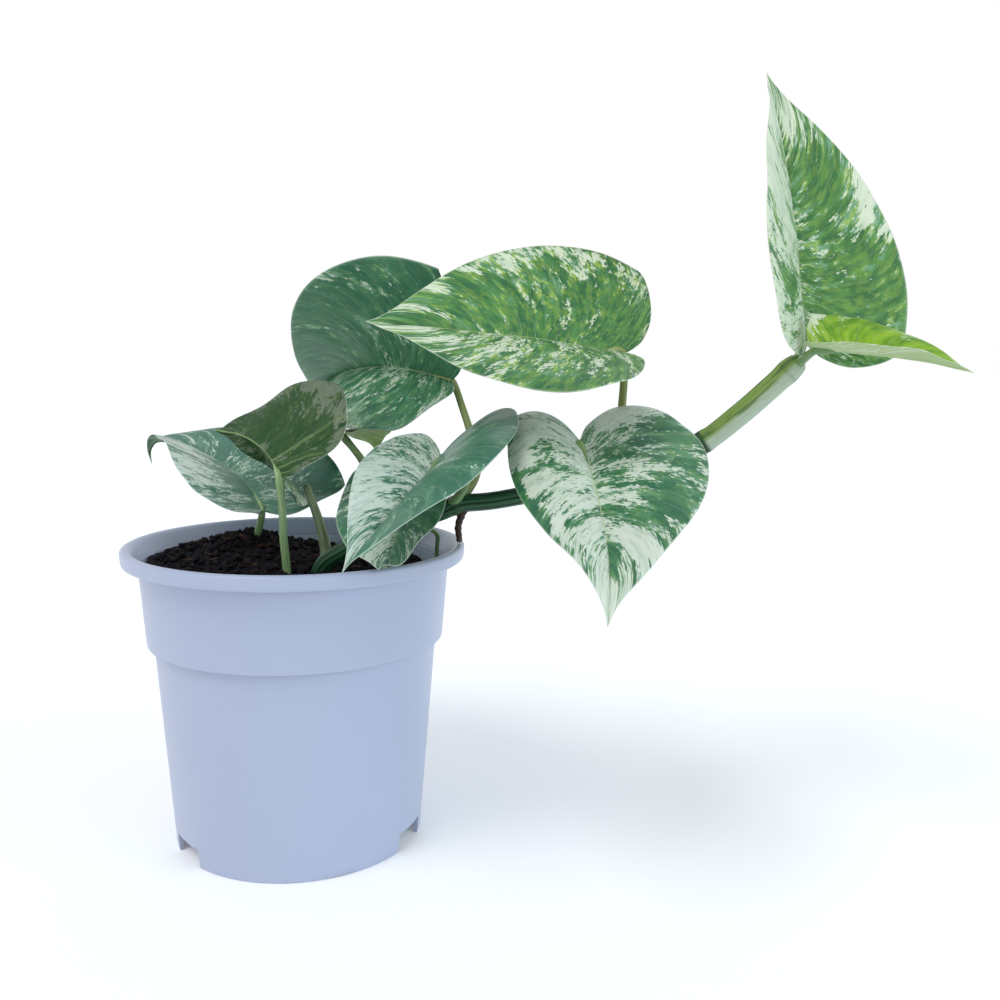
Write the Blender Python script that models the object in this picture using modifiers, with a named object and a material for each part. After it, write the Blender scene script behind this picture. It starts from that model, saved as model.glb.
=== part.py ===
"""A potted marble pothos: a white nursery pot, its soil, a trailing vine and ten heart-shaped leaves.

Metres, +Z up. The origin is the middle of the pot's base, on the surface that the pot stands on.
The vine trails towards +X, and the pot's front faces -Y.
"""

import math

import bmesh
import bpy
import numpy as np
from mathutils import Matrix, Vector

# ---------------------------------------------------------------- driving dimensions
GAP = 0.0003                # clearance kept between any two pieces

POT_HEIGHT = 0.0976
RIM_RADIUS = 0.055          # outside of the lip
LIP_OVERHANG = 0.0055       # how far the lip stands out past the collar's top
LIP_HEIGHT = 0.0049
LIP_ROUND = 0.0013          # radius of the lip's rounded crest
COLLAR_HEIGHT = 0.0308      # from the rim plane down to the shoulder step
COLLAR_TAPER = 0.0019       # radius lost down the collar
STEP_IN = 0.0022            # radius lost at the shoulder step
FOOT_RADIUS = 0.0404        # outside of the body where it meets the ground
WALL = 0.0012

FLOOR_LIFT = 0.0065         # underside of the raised drain channel above the ground
CHANNEL_WIDTH = 0.0150      # from the skirt in to the middle pad
CHANNEL_SLOPE = 0.0030      # width of the sloping wall between channel and pad
DRAIN_HOLES = 6
DRAIN_RADIUS = 0.0030
DRAIN_SIDES = 12
NOTCHES = (101, 221, 341)   # degrees round the foot
NOTCH_WIDTH = 0.0148
NOTCH_HEIGHT = 0.0062

SOIL_DROP = 0.0080          # soil level below the rim plane, at the middle
SOIL_TILT = 0.060           # the soil rises towards -X by this slope
MOUND = (-0.018, 0.015)     # middle of the heap of soil behind the crown
MOUND_HEIGHT = 0.0075
MOUND_SPREAD = 0.013
CLODS = (0.0007, 0.0004)    # height of the large and of the small clods on the soil
EDGE_FALL = 0.0080          # how far below the brim the soil's side wall may start

BLADE = 0.0008              # thickness of a leaf
VINE_RADIUS = 0.0028        # dark old stem that leaves the soil
SHOOT_RADIUS = 0.0036       # pale young stem towards the tip of the vine
PETIOLE_RADIUS = 0.0015
PETIOLE_TOP = 0.0010        # petiole radius where it meets the blade
PETIOLE_SETBACK = 0.0005    # how far behind the blade's base a petiole stops
ROOT_RADIUS = 0.0013
ROOT_FOOT = 0.0010          # the aerial root's foot outside the middle of the lip
ROOT_BEND = -0.0003         # how far its bend lies along X from its foot
ROOT_BEND_SHARE = 0.46      # and how much of the way up from its foot to the vine

TURN_STEPS = 56             # facets round the pot and the soil
STEM_STEP = 0.0040          # spacing of the points along a stem
BLADE_ROWS = 12
BLADE_COLUMNS = 4           # on each side of the midrib

COLLECTION = "potted_pothos"

# Half of a heart-shaped blade laid flat: half widths across, lengths along from the petiole.
OUTLINE = (
    (0.00, 0.00), (0.16, -0.10), (0.50, -0.165), (0.86, -0.09), (1.00, 0.12), (0.93, 0.34),
    (0.69, 0.57), (0.36, 0.77), (0.12, 0.90), (0.035, 0.96), (0.00, 1.00),
)

# The leaves. base: x, y and height above the rim plane. heading, rise and roll aim the midrib and
# the face. left and right are half widths. fold lifts each half at the midrib and curl bends it
# towards its margin. droop, sweep, twist and tip_droop bend the midrib. lobe scales the lobes, and
# lobe_lift raises them. curl_under turns the last of the tip down.
LEAVES = {
    "leaf_1": dict(base=(-0.0137, 0.0115, 0.0084), heading=118, rise=25, roll=32, length=0.089,
                   left=0.0285, right=0.0306, lobe=0.69, fold=(-3, 45), curl=(-12, 12), droop=38,
                   sweep=-24, twist=-7, tip_droop=12, lobe_lift=-35, curl_under=110),
    "leaf_2": dict(base=(-0.0020, -0.0132, 0.0229), heading=120, rise=34, roll=54, length=0.051,
                   left=0.032, right=0.016, lobe=0.55, fold=(70, 5), curl=(0, 0), droop=43,
                   sweep=22, twist=-19, tip_droop=-25, lobe_lift=24),
    "leaf_3": dict(base=(0.0490, 0.0256, 0.0527), heading=150, rise=15, roll=-63, length=0.094,
                   left=0.0354, right=0.0454, lobe=0.66, fold=(46, 49), curl=(-28, 19), droop=51,
                   sweep=-22, twist=24, tip_droop=-8, lobe_lift=-35),
    "leaf_4": dict(base=(0.1043, -0.0101, 0.0622), heading=174.6, rise=10.4, roll=-27.5, length=0.0805,
                   left=0.0406, right=0.0386, lobe=0.61, fold=(22.5, 13), curl=(-17, 18), droop=-1,
                   sweep=-20.6, twist=28, tip_droop=-3, lobe_lift=-35),
    "leaf_5": dict(base=(0.0476, -0.0142, 0.0293), heading=-103, rise=-14, roll=14, length=0.074,
                   left=0.031, right=0.0189, lobe=1.08, fold=(29, 32), curl=(-26, -7), droop=3,
                   sweep=8, twist=21, tip_droop=13, lobe_lift=-14),
    "leaf_6": dict(base=(0.0902, -0.0235, 0.0357), heading=-78.4, rise=-29.3, roll=3.5, length=0.078,
                   left=0.0338, right=0.0240, lobe=1.31, fold=(9.7, 26.6), curl=(-5.6, -56.5), droop=-5,
                   sweep=16.7, twist=-12.7, tip_droop=40, lobe_lift=12),
    "leaf_7": dict(base=(0.1619, -0.0042, 0.0664), heading=93, rise=75, roll=20, length=0.090,
                   left=0.0336, right=0.0338, lobe=0.55, fold=(42, 17), curl=(-10, 6), droop=1,
                   sweep=-12.6, twist=8, tip_droop=2, lobe_lift=-9),
    "leaf_8": dict(base=(0.1600, -0.0210, 0.0644), heading=-5.6, rise=-3, roll=-5, length=0.0470,
                   left=0.0165, right=0.0174, lobe=0.60, fold=(67, -5), curl=(-36, 8), droop=8,
                   sweep=-3.5, twist=10, tip_droop=11, lobe_lift=-45),
    "leaf_9": dict(base=(0.0380, -0.0061, 0.0232), heading=-97.5, rise=-36, roll=5.7, length=0.058,
                   left=0.0156, right=0.0219, lobe=0.76, fold=(1, 2), curl=(25, -8), droop=-25,
                   sweep=-11.5, twist=8.5, tip_droop=-36, lobe_lift=2),
    "leaf_10": dict(base=(0.0107, 0.0255, 0.0345), heading=80, rise=0, roll=0, length=0.044,
                    left=0.014, right=0.015, lobe=0.8, fold=(14, 14), curl=(-15, -15), droop=25,
                    sweep=0, twist=0, tip_droop=10, lobe_lift=0),
}

# The vine's route and the petioles' bends, in the same terms as the leaves' bases.
VINE = (
    (0.006, -0.004, -0.022), (0.0085, -0.0048, -0.0085), (0.015, -0.006, -0.0025), (0.0262, -0.005, 0.0027),
    (0.0357, -0.003, 0.0067), (0.0469, -0.001, 0.0105), (0.0534, 0.0, 0.0131), (0.0632, 0.001, 0.0141),
    (0.073, 0.001, 0.0159), (0.0861, 0.002, 0.0185), (0.104, 0.002, 0.0227), (0.1184, 0.001, 0.0279),
    (0.1315, -0.001, 0.0342), (0.1426, -0.004, 0.0437), (0.1512, -0.006, 0.0521), (0.1578, -0.008, 0.0590),
)
SHOOT_STARTS = 0.70         # how far along the vine the pale stem begins, 0 to 1
SHOOT_BLEND = 0.02          # the vine widens over this much to each side of it

# Where each petiole that springs from the vine starts along it, 0 to 1, and its bends on the way.
VINE_PETIOLES = {
    "leaf_3": (0.345, [(0.0584, 0.006, 0.0225), (0.0567, 0.015, 0.033), (0.0533, 0.0215, 0.0430)]),
    "leaf_4": (0.645, [(0.1042, 0.0008, 0.0330), (0.1049, -0.004, 0.0452)]),
    "leaf_5": (0.330, [(0.0552, -0.0050, 0.0200), (0.0545, -0.0115, 0.0275)]),
    "leaf_6": (0.600, [(0.0965, -0.007, 0.0262)]),
    "leaf_9": (0.235, [(0.0385, -0.0020, 0.0165)]),
    "leaf_10": (0.175, [(0.0275, 0.003, 0.0150), (0.0193, 0.013, 0.0262)]),
}
# Petioles that rise from the soil: their points, from below the soil upwards.
SOIL_PETIOLES = {
    "leaf_1": [(-0.0158, 0.013, -0.019), (-0.0163, 0.013, -0.0076), (-0.0165, 0.013, -0.0020)],
    "leaf_2": [(-0.0004, -0.013, -0.020), (-0.0007, -0.013, -0.0069), (-0.0014, -0.0135, 0.0029),
               (-0.0017, -0.0135, 0.0124)],
}
STUB = [(0.0060, 0.0040, -0.021), (0.0075, 0.0052, -0.0090), (0.0083, 0.006, -0.0046),
        (0.0063, 0.007, 0.0044), (0.0017, 0.008, 0.0174)]
STUB_RADII = (0.0026, 0.0012)          # at its foot and at its cut top
# Both roots hang from the vine by the pot's rim, so their places along X are counted from it.
SHEATH_REACH = 0.0004                  # the vine's sheathed aerial root leaves it this far past the rim
FEEDER_REACH = -0.0175                 # the thin green root leaves it this far inside the rim
FEEDER = [(-0.0098, 0.0015, 0.0034), (-0.0093, 0.0036, -0.0026), (-0.0106, 0.0040, -0.019)]
FEEDER_RADIUS = 0.0007

COLOURS = {
    "pot": ((0.72, 0.77, 0.86), 0.38),
    "soil": ((0.020, 0.014, 0.012), 0.95),
    "leaf": ((0.16, 0.36, 0.15), 0.45),
    "stem": ((0.20, 0.33, 0.12), 0.50),
    "root": ((0.075, 0.045, 0.030), 0.80),
}


# ---------------------------------------------------------------- small helpers
def clear_scene():
    for obj in list(bpy.data.objects):
        bpy.data.objects.remove(obj, do_unlink=True)


def make_collection(name):
    collection = bpy.data.collections.new(name)
    bpy.context.scene.collection.children.link(collection)
    return collection


def make_material(name, kind):
    colour, roughness = COLOURS[kind]
    material = bpy.data.materials.new(name)
    material.use_nodes = True
    shader = material.node_tree.nodes["Principled BSDF"]
    shader.inputs["Base Color"].default_value = (*colour, 1.0)
    shader.inputs["Roughness"].default_value = roughness
    shader.inputs["Metallic"].default_value = 0.0
    return material


def add_mesh(name, bm, collection, kind):
    mesh = bpy.data.meshes.new(name)
    bm.to_mesh(mesh)
    bm.free()
    obj = bpy.data.objects.new(name, mesh)
    mesh.materials.append(make_material(name, kind))
    collection.objects.link(obj)
    return obj


def smooth_curve(points, step):
    """Points about one step apart on a smooth curve through the given ones."""
    points = [Vector(p) for p in points]
    ends = [2 * points[0] - points[1]] + points + [2 * points[-1] - points[-2]]
    result = []
    for i in range(1, len(ends) - 2):
        before, start, end, after = ends[i - 1:i + 3]
        pieces = max(1, round((end - start).length / step))
        for k in range(pieces):
            t = k / pieces
            result.append(0.5 * (2 * start + (end - before) * t
                                 + (2 * before - 5 * start + 4 * end - after) * t ** 2
                                 + (3 * start - before - 3 * end + after) * t ** 3))
    return result + [points[-1]]


def above_rim(point):
    """A place given by its height above the rim plane, in the pot's own frame."""
    return Vector((point[0], point[1], POT_HEIGHT + point[2]))


# ---------------------------------------------------------------- leaves
def outline_point(u):
    """A point of the blade's half outline, with u from 0 at the petiole to 1 at the tip."""
    knots = np.array(OUTLINE)
    chords = np.sqrt(np.linalg.norm(np.diff(knots, axis=0), axis=1))
    times = np.concatenate([[0], np.cumsum(chords)])
    times /= times[-1]
    slopes = np.gradient(knots, axis=0)
    slopes[1:-1] = (knots[2:] - knots[:-2]) / (times[2:] - times[:-2])[:, None]
    slopes[0] = (knots[1] - knots[0]) / (times[1] - times[0])
    slopes[-1] = (knots[-1] - knots[-2]) / (times[-1] - times[-2])
    i = min(int(np.searchsorted(times, u, side="right")) - 1, len(knots) - 2)
    span = times[i + 1] - times[i]
    s = (u - times[i]) / span
    return ((2 * s ** 3 - 3 * s ** 2 + 1) * knots[i] + (s ** 3 - 2 * s ** 2 + s) * span * slopes[i]
            + (3 * s ** 2 - 2 * s ** 3) * knots[i + 1] + (s ** 3 - s ** 2) * span * slopes[i + 1])


def leaf_axes(leaf):
    """The world directions of a leaf's width, midrib and upper face, at its base."""
    heading, rise, roll = (math.radians(leaf[k]) for k in ("heading", "rise", "roll"))
    along = Vector((math.cos(rise) * math.cos(heading), math.cos(rise) * math.sin(heading), math.sin(rise)))
    level = Vector((-math.sin(rise) * math.cos(heading), -math.sin(rise) * math.sin(heading), math.cos(rise)))
    face = math.cos(roll) * level + math.sin(roll) * along.cross(level)
    return along.cross(face), along, face


def leaf_midrib(leaf, samples=97):
    """Stations along the midrib: distance along, centre, width direction and face direction."""
    length = leaf["length"]
    along = np.linspace(-0.35 * length, length, samples)
    t = along / length
    ahead = np.clip(t, 0, None)
    bend = np.radians(leaf["droop"]) * ahead
    bend += np.radians(leaf["tip_droop"]) * np.clip((t - 0.75) / 0.25, 0, 1) ** 1.5
    bend -= np.radians(leaf["lobe_lift"]) * np.clip(-t / 0.2, 0, None)
    bend += np.radians(leaf.get("curl_under", 0)) * np.clip((t - 0.86) / 0.10, 0, 1)
    sweep = np.radians(leaf["sweep"]) * ahead
    tangent = np.stack([np.sin(sweep) * np.cos(bend), np.cos(sweep) * np.cos(bend), -np.sin(bend)], 1)
    middle = (tangent[1:] + tangent[:-1]) / 2 * (along[1] - along[0])
    centre = np.concatenate([np.zeros((1, 3)), np.cumsum(middle, 0)])
    centre -= [np.interp(0, along, centre[:, k]) for k in range(3)]
    width = np.stack([np.cos(sweep), -np.sin(sweep), np.zeros(samples)], 1)
    face = np.cross(width, tangent)
    twist = (np.radians(leaf["twist"]) * ahead)[:, None]
    return (along, centre, np.cos(twist) * width + np.sin(twist) * face,
            np.cos(twist) * face - np.sin(twist) * width)


def leaf_surface(leaf, across, along):
    """World points of the blade's middle surface, for flat coordinates in metres."""
    stations, centres, widths, faces = leaf_midrib(leaf)
    centre, width, face = (np.stack([np.interp(along, stations, a[:, k]) for k in range(3)], -1)
                           for a in (centres, widths, faces))
    half = np.where(across < 0, leaf["left"], leaf["right"])
    fold = np.radians(np.where(across < 0, *leaf["fold"]))
    curl = np.radians(np.where(across < 0, *leaf["curl"]))
    curl = np.where(np.abs(curl) < 0.001, 0.001, curl)
    share = np.abs(across) / half
    out = half / curl * (np.sin(fold + curl * share) - np.sin(fold))
    lift = half / curl * (np.cos(fold) - np.cos(fold + curl * share))
    local = centre + (np.sign(across) * out)[..., None] * width + lift[..., None] * face
    right, ahead, up = (np.array(v) for v in leaf_axes(leaf))
    base = np.array(above_rim(leaf["base"]))
    return base + local[..., 0:1] * right + local[..., 1:2] * ahead + local[..., 2:3] * up


def leaf_grid(leaf, rows, columns):
    """Flat coordinates of the blade: each row runs from margin to margin through the midrib."""
    across = np.zeros((rows + 1, 2 * columns + 1))
    along = np.zeros_like(across)
    for i in range(rows + 1):
        edge_x, edge_y = outline_point(i / rows)
        edge_y *= leaf["lobe"] if edge_y < 0 else 1
        middle_y = (i / rows) ** 1.7
        for j in range(-columns, columns + 1):
            share = abs(j) / columns
            half = leaf["right"] if j > 0 else -leaf["left"]
            across[i, j + columns] = share * edge_x * half
            along[i, j + columns] = (middle_y * (1 - share) + edge_y * share) * leaf["length"]
    return across, along


def add_leaf(name, collection):
    leaf = LEAVES[name]
    points = leaf_surface(leaf, *leaf_grid(leaf, BLADE_ROWS, BLADE_COLUMNS))
    bm = bmesh.new()
    verts = [[bm.verts.new(p) for p in row] for row in points]
    for lower, upper in zip(verts[:-1], verts[1:]):
        for a, b, c, d in zip(lower[:-1], lower[1:], upper[1:], upper[:-1]):
            bm.faces.new((a, b, c, d))
    bmesh.ops.remove_doubles(bm, verts=bm.verts, dist=1e-6)
    for face in bm.faces:
        face.smooth = True
    obj = add_mesh(name, bm, collection, "leaf")
    thickness = obj.modifiers.new("thickness", "SOLIDIFY")
    thickness.thickness = BLADE
    thickness.offset = 0
    return obj


def petiole_top(leaf):
    """Where a petiole stops, just clear of the underside of the blade's base."""
    _, along, face = leaf_axes(leaf)
    return above_rim(leaf["base"]) - face * (BLADE / 2 + GAP + PETIOLE_TOP) - along * PETIOLE_SETBACK


# ---------------------------------------------------------------- stems
def add_stem(name, points, radii, collection, kind="stem"):
    """A round stem with closed ends along a smooth curve, its radius running through the given ones."""
    route = smooth_curve(points, STEM_STEP)
    curve = bpy.data.curves.new(name, "CURVE")
    curve.dimensions = "3D"
    curve.bevel_depth = 1.0
    curve.bevel_resolution = 2
    curve.use_fill_caps = True
    spline = curve.splines.new("POLY")
    spline.points.add(len(route) - 1)
    for i, (point, place) in enumerate(zip(spline.points, route)):
        point.co = (*place, 1.0)
        point.radius = float(np.interp(i / (len(route) - 1), np.linspace(0, 1, len(radii)), radii))
    obj = bpy.data.objects.new(name, curve)
    curve.materials.append(make_material(name, kind))
    collection.objects.link(obj)
    return obj


def vine_at(share):
    """The vine's centre, direction and radius at a share of its length."""
    route = smooth_curve([above_rim(p) for p in VINE], STEM_STEP)
    position = share * (len(route) - 1)
    i = min(int(position), len(route) - 2)
    centre = route[i].lerp(route[i + 1], position - i)
    radius = float(np.interp(share, *vine_radii()))
    return centre, (route[i + 1] - route[i]).normalized(), radius


def vine_share_over(x):
    """How far along the vine its centre passes over a place on X, 0 to 1."""
    route = smooth_curve([above_rim(p) for p in VINE], STEM_STEP)
    return float(np.interp(x, [p.x for p in route], np.linspace(0, 1, len(route))))


def vine_radii():
    shares = (0, SHOOT_STARTS - SHOOT_BLEND, SHOOT_STARTS + SHOOT_BLEND, 1)
    return shares, (VINE_RADIUS, VINE_RADIUS, SHOOT_RADIUS, SHOOT_RADIUS)


def off_the_vine(share, towards, radius):
    """Where a stem of this radius starts so that its end stays clear of the vine's side."""
    centre, direction, vine_radius = vine_at(share)
    way = (towards - centre).normalized()
    sine = way.cross(direction).length
    return centre + way * ((vine_radius + GAP + radius * abs(way.dot(direction))) / sine)


def add_vine(collection):
    shares = np.linspace(0, 1, 41)
    radii = np.interp(shares, *vine_radii())
    return add_stem("main_vine", [above_rim(p) for p in VINE], list(radii), collection)


def add_petioles(collection):
    radii = (PETIOLE_RADIUS, PETIOLE_RADIUS, PETIOLE_TOP)
    for name, (share, bends) in VINE_PETIOLES.items():
        bends = [above_rim(p) for p in bends]
        route = [off_the_vine(share, bends[0], PETIOLE_RADIUS)] + bends + [petiole_top(LEAVES[name])]
        add_stem(name.replace("leaf", "petiole"), route, radii, collection)
    for name, points in SOIL_PETIOLES.items():
        route = [above_rim(p) for p in points] + [petiole_top(LEAVES[name])]
        add_stem(name.replace("leaf", "petiole"), route, radii, collection)
    for name in ("leaf_7", "leaf_8"):
        tip, direction, radius = vine_at(1.0)
        side = 1 if name == "leaf_7" else -1
        start = tip + direction * (2 * GAP + PETIOLE_RADIUS) + Vector((0, side * (PETIOLE_RADIUS + GAP), 0))
        add_stem(name.replace("leaf", "petiole"), [start, petiole_top(LEAVES[name])], radii, collection)


def add_small_stems(collection):
    add_stem("cut_petiole_stub", [above_rim(p) for p in STUB], STUB_RADII, collection)
    foot = Vector((RIM_RADIUS - LIP_OVERHANG / 2 + ROOT_FOOT, 0.0, POT_HEIGHT + GAP))
    share = vine_share_over(RIM_RADIUS + SHEATH_REACH)
    climb = vine_at(share)[0].z - foot.z
    bend = foot + Vector((ROOT_BEND, 0.0, ROOT_BEND_SHARE * climb))
    start = off_the_vine(share, bend, ROOT_RADIUS)
    add_stem("aerial_root", [start, bend, foot], (ROOT_RADIUS, ROOT_RADIUS), collection, "root")
    bends = [above_rim((RIM_RADIUS + x, y, z)) for x, y, z in FEEDER]
    start = off_the_vine(vine_share_over(RIM_RADIUS + FEEDER_REACH), bends[0], FEEDER_RADIUS)
    add_stem("feeder_root", [start] + bends, (FEEDER_RADIUS, FEEDER_RADIUS), collection)


# ---------------------------------------------------------------- pot
def collar_radii():
    """The outside radii at the collar's top, at its foot and at the body's top under the step."""
    top = RIM_RADIUS - LIP_OVERHANG
    foot = top - COLLAR_TAPER
    return top, foot, foot - STEP_IN


def step_height():
    return POT_HEIGHT - COLLAR_HEIGHT


def outer_profile():
    """Radius and height down the pot's outside, from the rim's crest to the ground."""
    collar_top, collar_foot, body_top = collar_radii()
    lip_foot = POT_HEIGHT - LIP_HEIGHT
    step = step_height()
    points = [(RIM_RADIUS - LIP_ROUND * (1 - math.sin(a)), POT_HEIGHT - LIP_ROUND * (1 - math.cos(a)))
              for a in np.radians((0, 30, 60, 90))]
    points += [(RIM_RADIUS - 0.0003, lip_foot + 0.0018), (RIM_RADIUS - 0.0014, lip_foot + 0.0004),
               (collar_top + 0.0012, lip_foot - 0.0004), (collar_top, lip_foot - 0.0016)]
    points += [(collar_foot, step + 0.0016), (collar_foot - 0.0004, step + 0.0006),
               (body_top + 0.0006, step), (body_top, step - 0.0008)]
    points += [(FOOT_RADIUS, 0.0008), (FOOT_RADIUS - 0.0003, 0.0)]
    return points


def wall_profile():
    """Radius and height up the pot's inside wall, from the floor to the rim's crest."""
    collar_top, collar_foot, body_top = collar_radii()
    step = step_height()
    floor = FLOOR_LIFT + WALL
    slope = (body_top - FOOT_RADIUS) / step
    return [(FOOT_RADIUS + slope * floor - WALL, floor), (body_top - WALL, step - 0.0006),
            (collar_foot - WALL - 0.0002, step + 0.0014),
            (collar_top - WALL, POT_HEIGHT - LIP_HEIGHT - 0.0010),
            (collar_top + 0.0006, POT_HEIGHT - 0.0030), (RIM_RADIUS - 0.0032, POT_HEIGHT - 0.0007),
            (RIM_RADIUS - 0.0024, POT_HEIGHT - 0.0001)]


def pad_radius():
    return FOOT_RADIUS - WALL - CHANNEL_WIDTH


def floor_profile(lift):
    """Radius and height from the axis out over the middle pad and up to the channel."""
    pad = pad_radius() - CHANNEL_SLOPE
    return [(0.0, lift), (pad, lift), (pad_radius(), FLOOR_LIFT + lift)]


def turned(name, profile, collection, kind):
    """A solid turned about Z from its profile."""
    bm = bmesh.new()
    verts = [bm.verts.new((r, 0.0, z)) for r, z in profile]
    for a, b in zip(verts[:-1], verts[1:]):
        bm.edges.new((a, b))
    obj = add_mesh(name, bm, collection, kind)
    screw = obj.modifiers.new("turn", "SCREW")
    screw.axis = "Z"
    screw.steps = TURN_STEPS
    screw.render_steps = TURN_STEPS
    screw.use_merge_vertices = True
    screw.merge_threshold = 0.00001
    screw.use_smooth_shade = True
    return obj


def cut(obj, cutter):
    boolean = obj.modifiers.new(cutter.name, "BOOLEAN")
    boolean.operation = "DIFFERENCE"
    boolean.solver = "EXACT"
    boolean.object = cutter
    cutter.hide_render = True
    cutter.display_type = "WIRE"


def add_notch_cutter(index, degrees, cutters):
    bpy.ops.mesh.primitive_cube_add(size=1)
    cutter = bpy.context.object
    cutter.name = f"notch_cutter_{index}"
    cutter.scale = (WALL * 6, NOTCH_WIDTH, NOTCH_HEIGHT * 2)
    reach = Matrix.Rotation(math.radians(degrees), 4, "Z")
    cutter.location = reach @ Vector((FOOT_RADIUS - WALL / 2, 0, 0))
    cutter.rotation_euler = (0, 0, math.radians(degrees))
    move_to(cutter, cutters)
    return cutter


def add_drain_cutter(index, cutters):
    turn = math.radians(360 / DRAIN_HOLES * (index + 0.5))
    radius = (pad_radius() + FOOT_RADIUS - WALL) / 2
    bpy.ops.mesh.primitive_cylinder_add(vertices=DRAIN_SIDES, radius=DRAIN_RADIUS, depth=WALL * 4)
    cutter = bpy.context.object
    cutter.name = f"drain_cutter_{index}"
    cutter.location = (radius * math.cos(turn), radius * math.sin(turn), FLOOR_LIFT + WALL / 2)
    cutter.rotation_euler = (0, 0, turn + math.pi / DRAIN_SIDES)    # no corner lies on a facet's edge
    move_to(cutter, cutters)
    return cutter


def move_to(obj, collection):
    for owner in list(obj.users_collection):
        owner.objects.unlink(obj)
    collection.objects.link(obj)


def add_pot(parts, cutters):
    skirt = [(FOOT_RADIUS - WALL, 0.0), (FOOT_RADIUS - WALL, FLOOR_LIFT),
             (pad_radius() + WALL / 2, FLOOR_LIFT)]
    profile = floor_profile(WALL) + wall_profile() + outer_profile() + skirt
    profile += [(pad_radius() - CHANNEL_SLOPE + WALL / 2, 0.0), (0.0, 0.0)]
    pot = turned("pot", profile, parts, "pot")
    for i, degrees in enumerate(NOTCHES):
        cut(pot, add_notch_cutter(i, degrees, cutters))
    for i in range(DRAIN_HOLES):
        cut(pot, add_drain_cutter(i, cutters))
    return pot


# ---------------------------------------------------------------- soil
def soil_height(x, y):
    """Height of the soil's surface: a gentle tilt, a heap by the crown and small clods."""
    heap = MOUND_HEIGHT * math.exp(-((x - MOUND[0]) ** 2 + (y - MOUND[1]) ** 2) / (2 * MOUND_SPREAD ** 2))
    clods = CLODS[0] * math.sin(310 * x + 1.3) * math.sin(270 * y + 0.4)
    clods += CLODS[1] * math.sin(620 * y + 510 * x)
    return POT_HEIGHT - SOIL_DROP - SOIL_TILT * x + heap + clods


def add_soil(parts, cutters):
    inner = [(r - GAP, z) for r, z in wall_profile()]
    brim = POT_HEIGHT - SOIL_DROP
    brim_radius = float(np.interp(brim, [z for _, z in inner], [r for r, _ in inner]))
    sides = [(r, z) for r, z in reversed(inner) if z < brim - EDGE_FALL]
    sides[-1] = (sides[-1][0], sides[-1][1] + GAP)
    collar = inner[2:4]
    bottom = [(r - GAP, z + GAP) for r, z in reversed(floor_profile(WALL)) if r > 0]
    shares = (0.0, 0.15, 0.3, 0.45, 0.6, 0.75, 0.88, 1.0)
    top = [(brim_radius * share, brim) for share in shares]
    profile = top + sides + bottom + [(0.0, WALL + GAP)]

    bm = bmesh.new()
    verts = [bm.verts.new((r, 0.0, z)) for r, z in profile]
    edges = [bm.edges.new(pair) for pair in zip(verts[:-1], verts[1:])]
    bmesh.ops.spin(bm, geom=verts + edges, cent=(0, 0, 0), axis=(0, 0, 1), angle=math.tau,
                   steps=TURN_STEPS // 2, use_merge=True)
    bmesh.ops.remove_doubles(bm, verts=bm.verts, dist=1e-6)
    for vert in bm.verts:
        if vert.co.z > brim - 0.0001:
            height = soil_height(vert.co.x, vert.co.y)
            reach = math.hypot(vert.co.x, vert.co.y)
            if reach > brim_radius * 0.99:
                limit = float(np.interp(height, [z for _, z in collar], [r for r, _ in collar]))
                vert.co.xy = vert.co.xy * (limit / reach)
            vert.co.z = height
    bmesh.ops.recalc_face_normals(bm, faces=bm.faces)
    soil = add_mesh("soil", bm, parts, "soil")
    for name in ("main_vine", "petiole_1", "petiole_2", "cut_petiole_stub", "feeder_root"):
        cut(soil, add_socket_cutter(name, cutters))
    return soil


def add_socket_cutter(name, cutters):
    """A copy of a stem, fatter and longer by the clearance, as a mesh."""
    stem = bpy.data.objects[name]
    fat = stem.data.copy()
    points = fat.splines[0].points
    for point in points:
        point.radius = point.radius + GAP
    buried = 0 if points[0].co.z < points[-1].co.z else len(points) - 1
    neighbour = 1 if buried == 0 else len(points) - 2
    end, inner = points[buried].co.xyz, points[neighbour].co.xyz
    points[buried].co = (*(end + (end - inner).normalized() * GAP), 1.0)
    guide = bpy.data.objects.new(name + "_guide", fat)
    cutters.objects.link(guide)
    mesh = bpy.data.meshes.new_from_object(guide.evaluated_get(bpy.context.evaluated_depsgraph_get()))
    bm = bmesh.new()
    bm.from_mesh(mesh)
    bmesh.ops.remove_doubles(bm, verts=bm.verts, dist=1e-6)
    bmesh.ops.recalc_face_normals(bm, faces=bm.faces)
    bm.to_mesh(mesh)
    bm.free()
    cutter = bpy.data.objects.new(name + "_socket", mesh)
    cutters.objects.link(cutter)
    bpy.data.objects.remove(guide, do_unlink=True)
    return cutter


# ---------------------------------------------------------------- assembly
def main():
    clear_scene()
    parts = make_collection(COLLECTION)
    cutters = make_collection("cutters")
    add_pot(parts, cutters)
    add_vine(parts)
    add_petioles(parts)
    add_small_stems(parts)
    for name in LEAVES:
        add_leaf(name, parts)
    add_soil(parts, cutters)


main()
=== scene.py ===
"""A potted marble pothos: variegated leaves, a ridged vine, crumbly soil and a white nursery pot.

Metres, +Z up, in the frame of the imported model. The vine trails towards +X, and the pot's front faces -Y.
"""

import math
import random

import bmesh
import bpy
import numpy as np
from bpy.props import FloatProperty, FloatVectorProperty, IntProperty, PointerProperty
from mathutils import Matrix, Vector, noise


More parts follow.
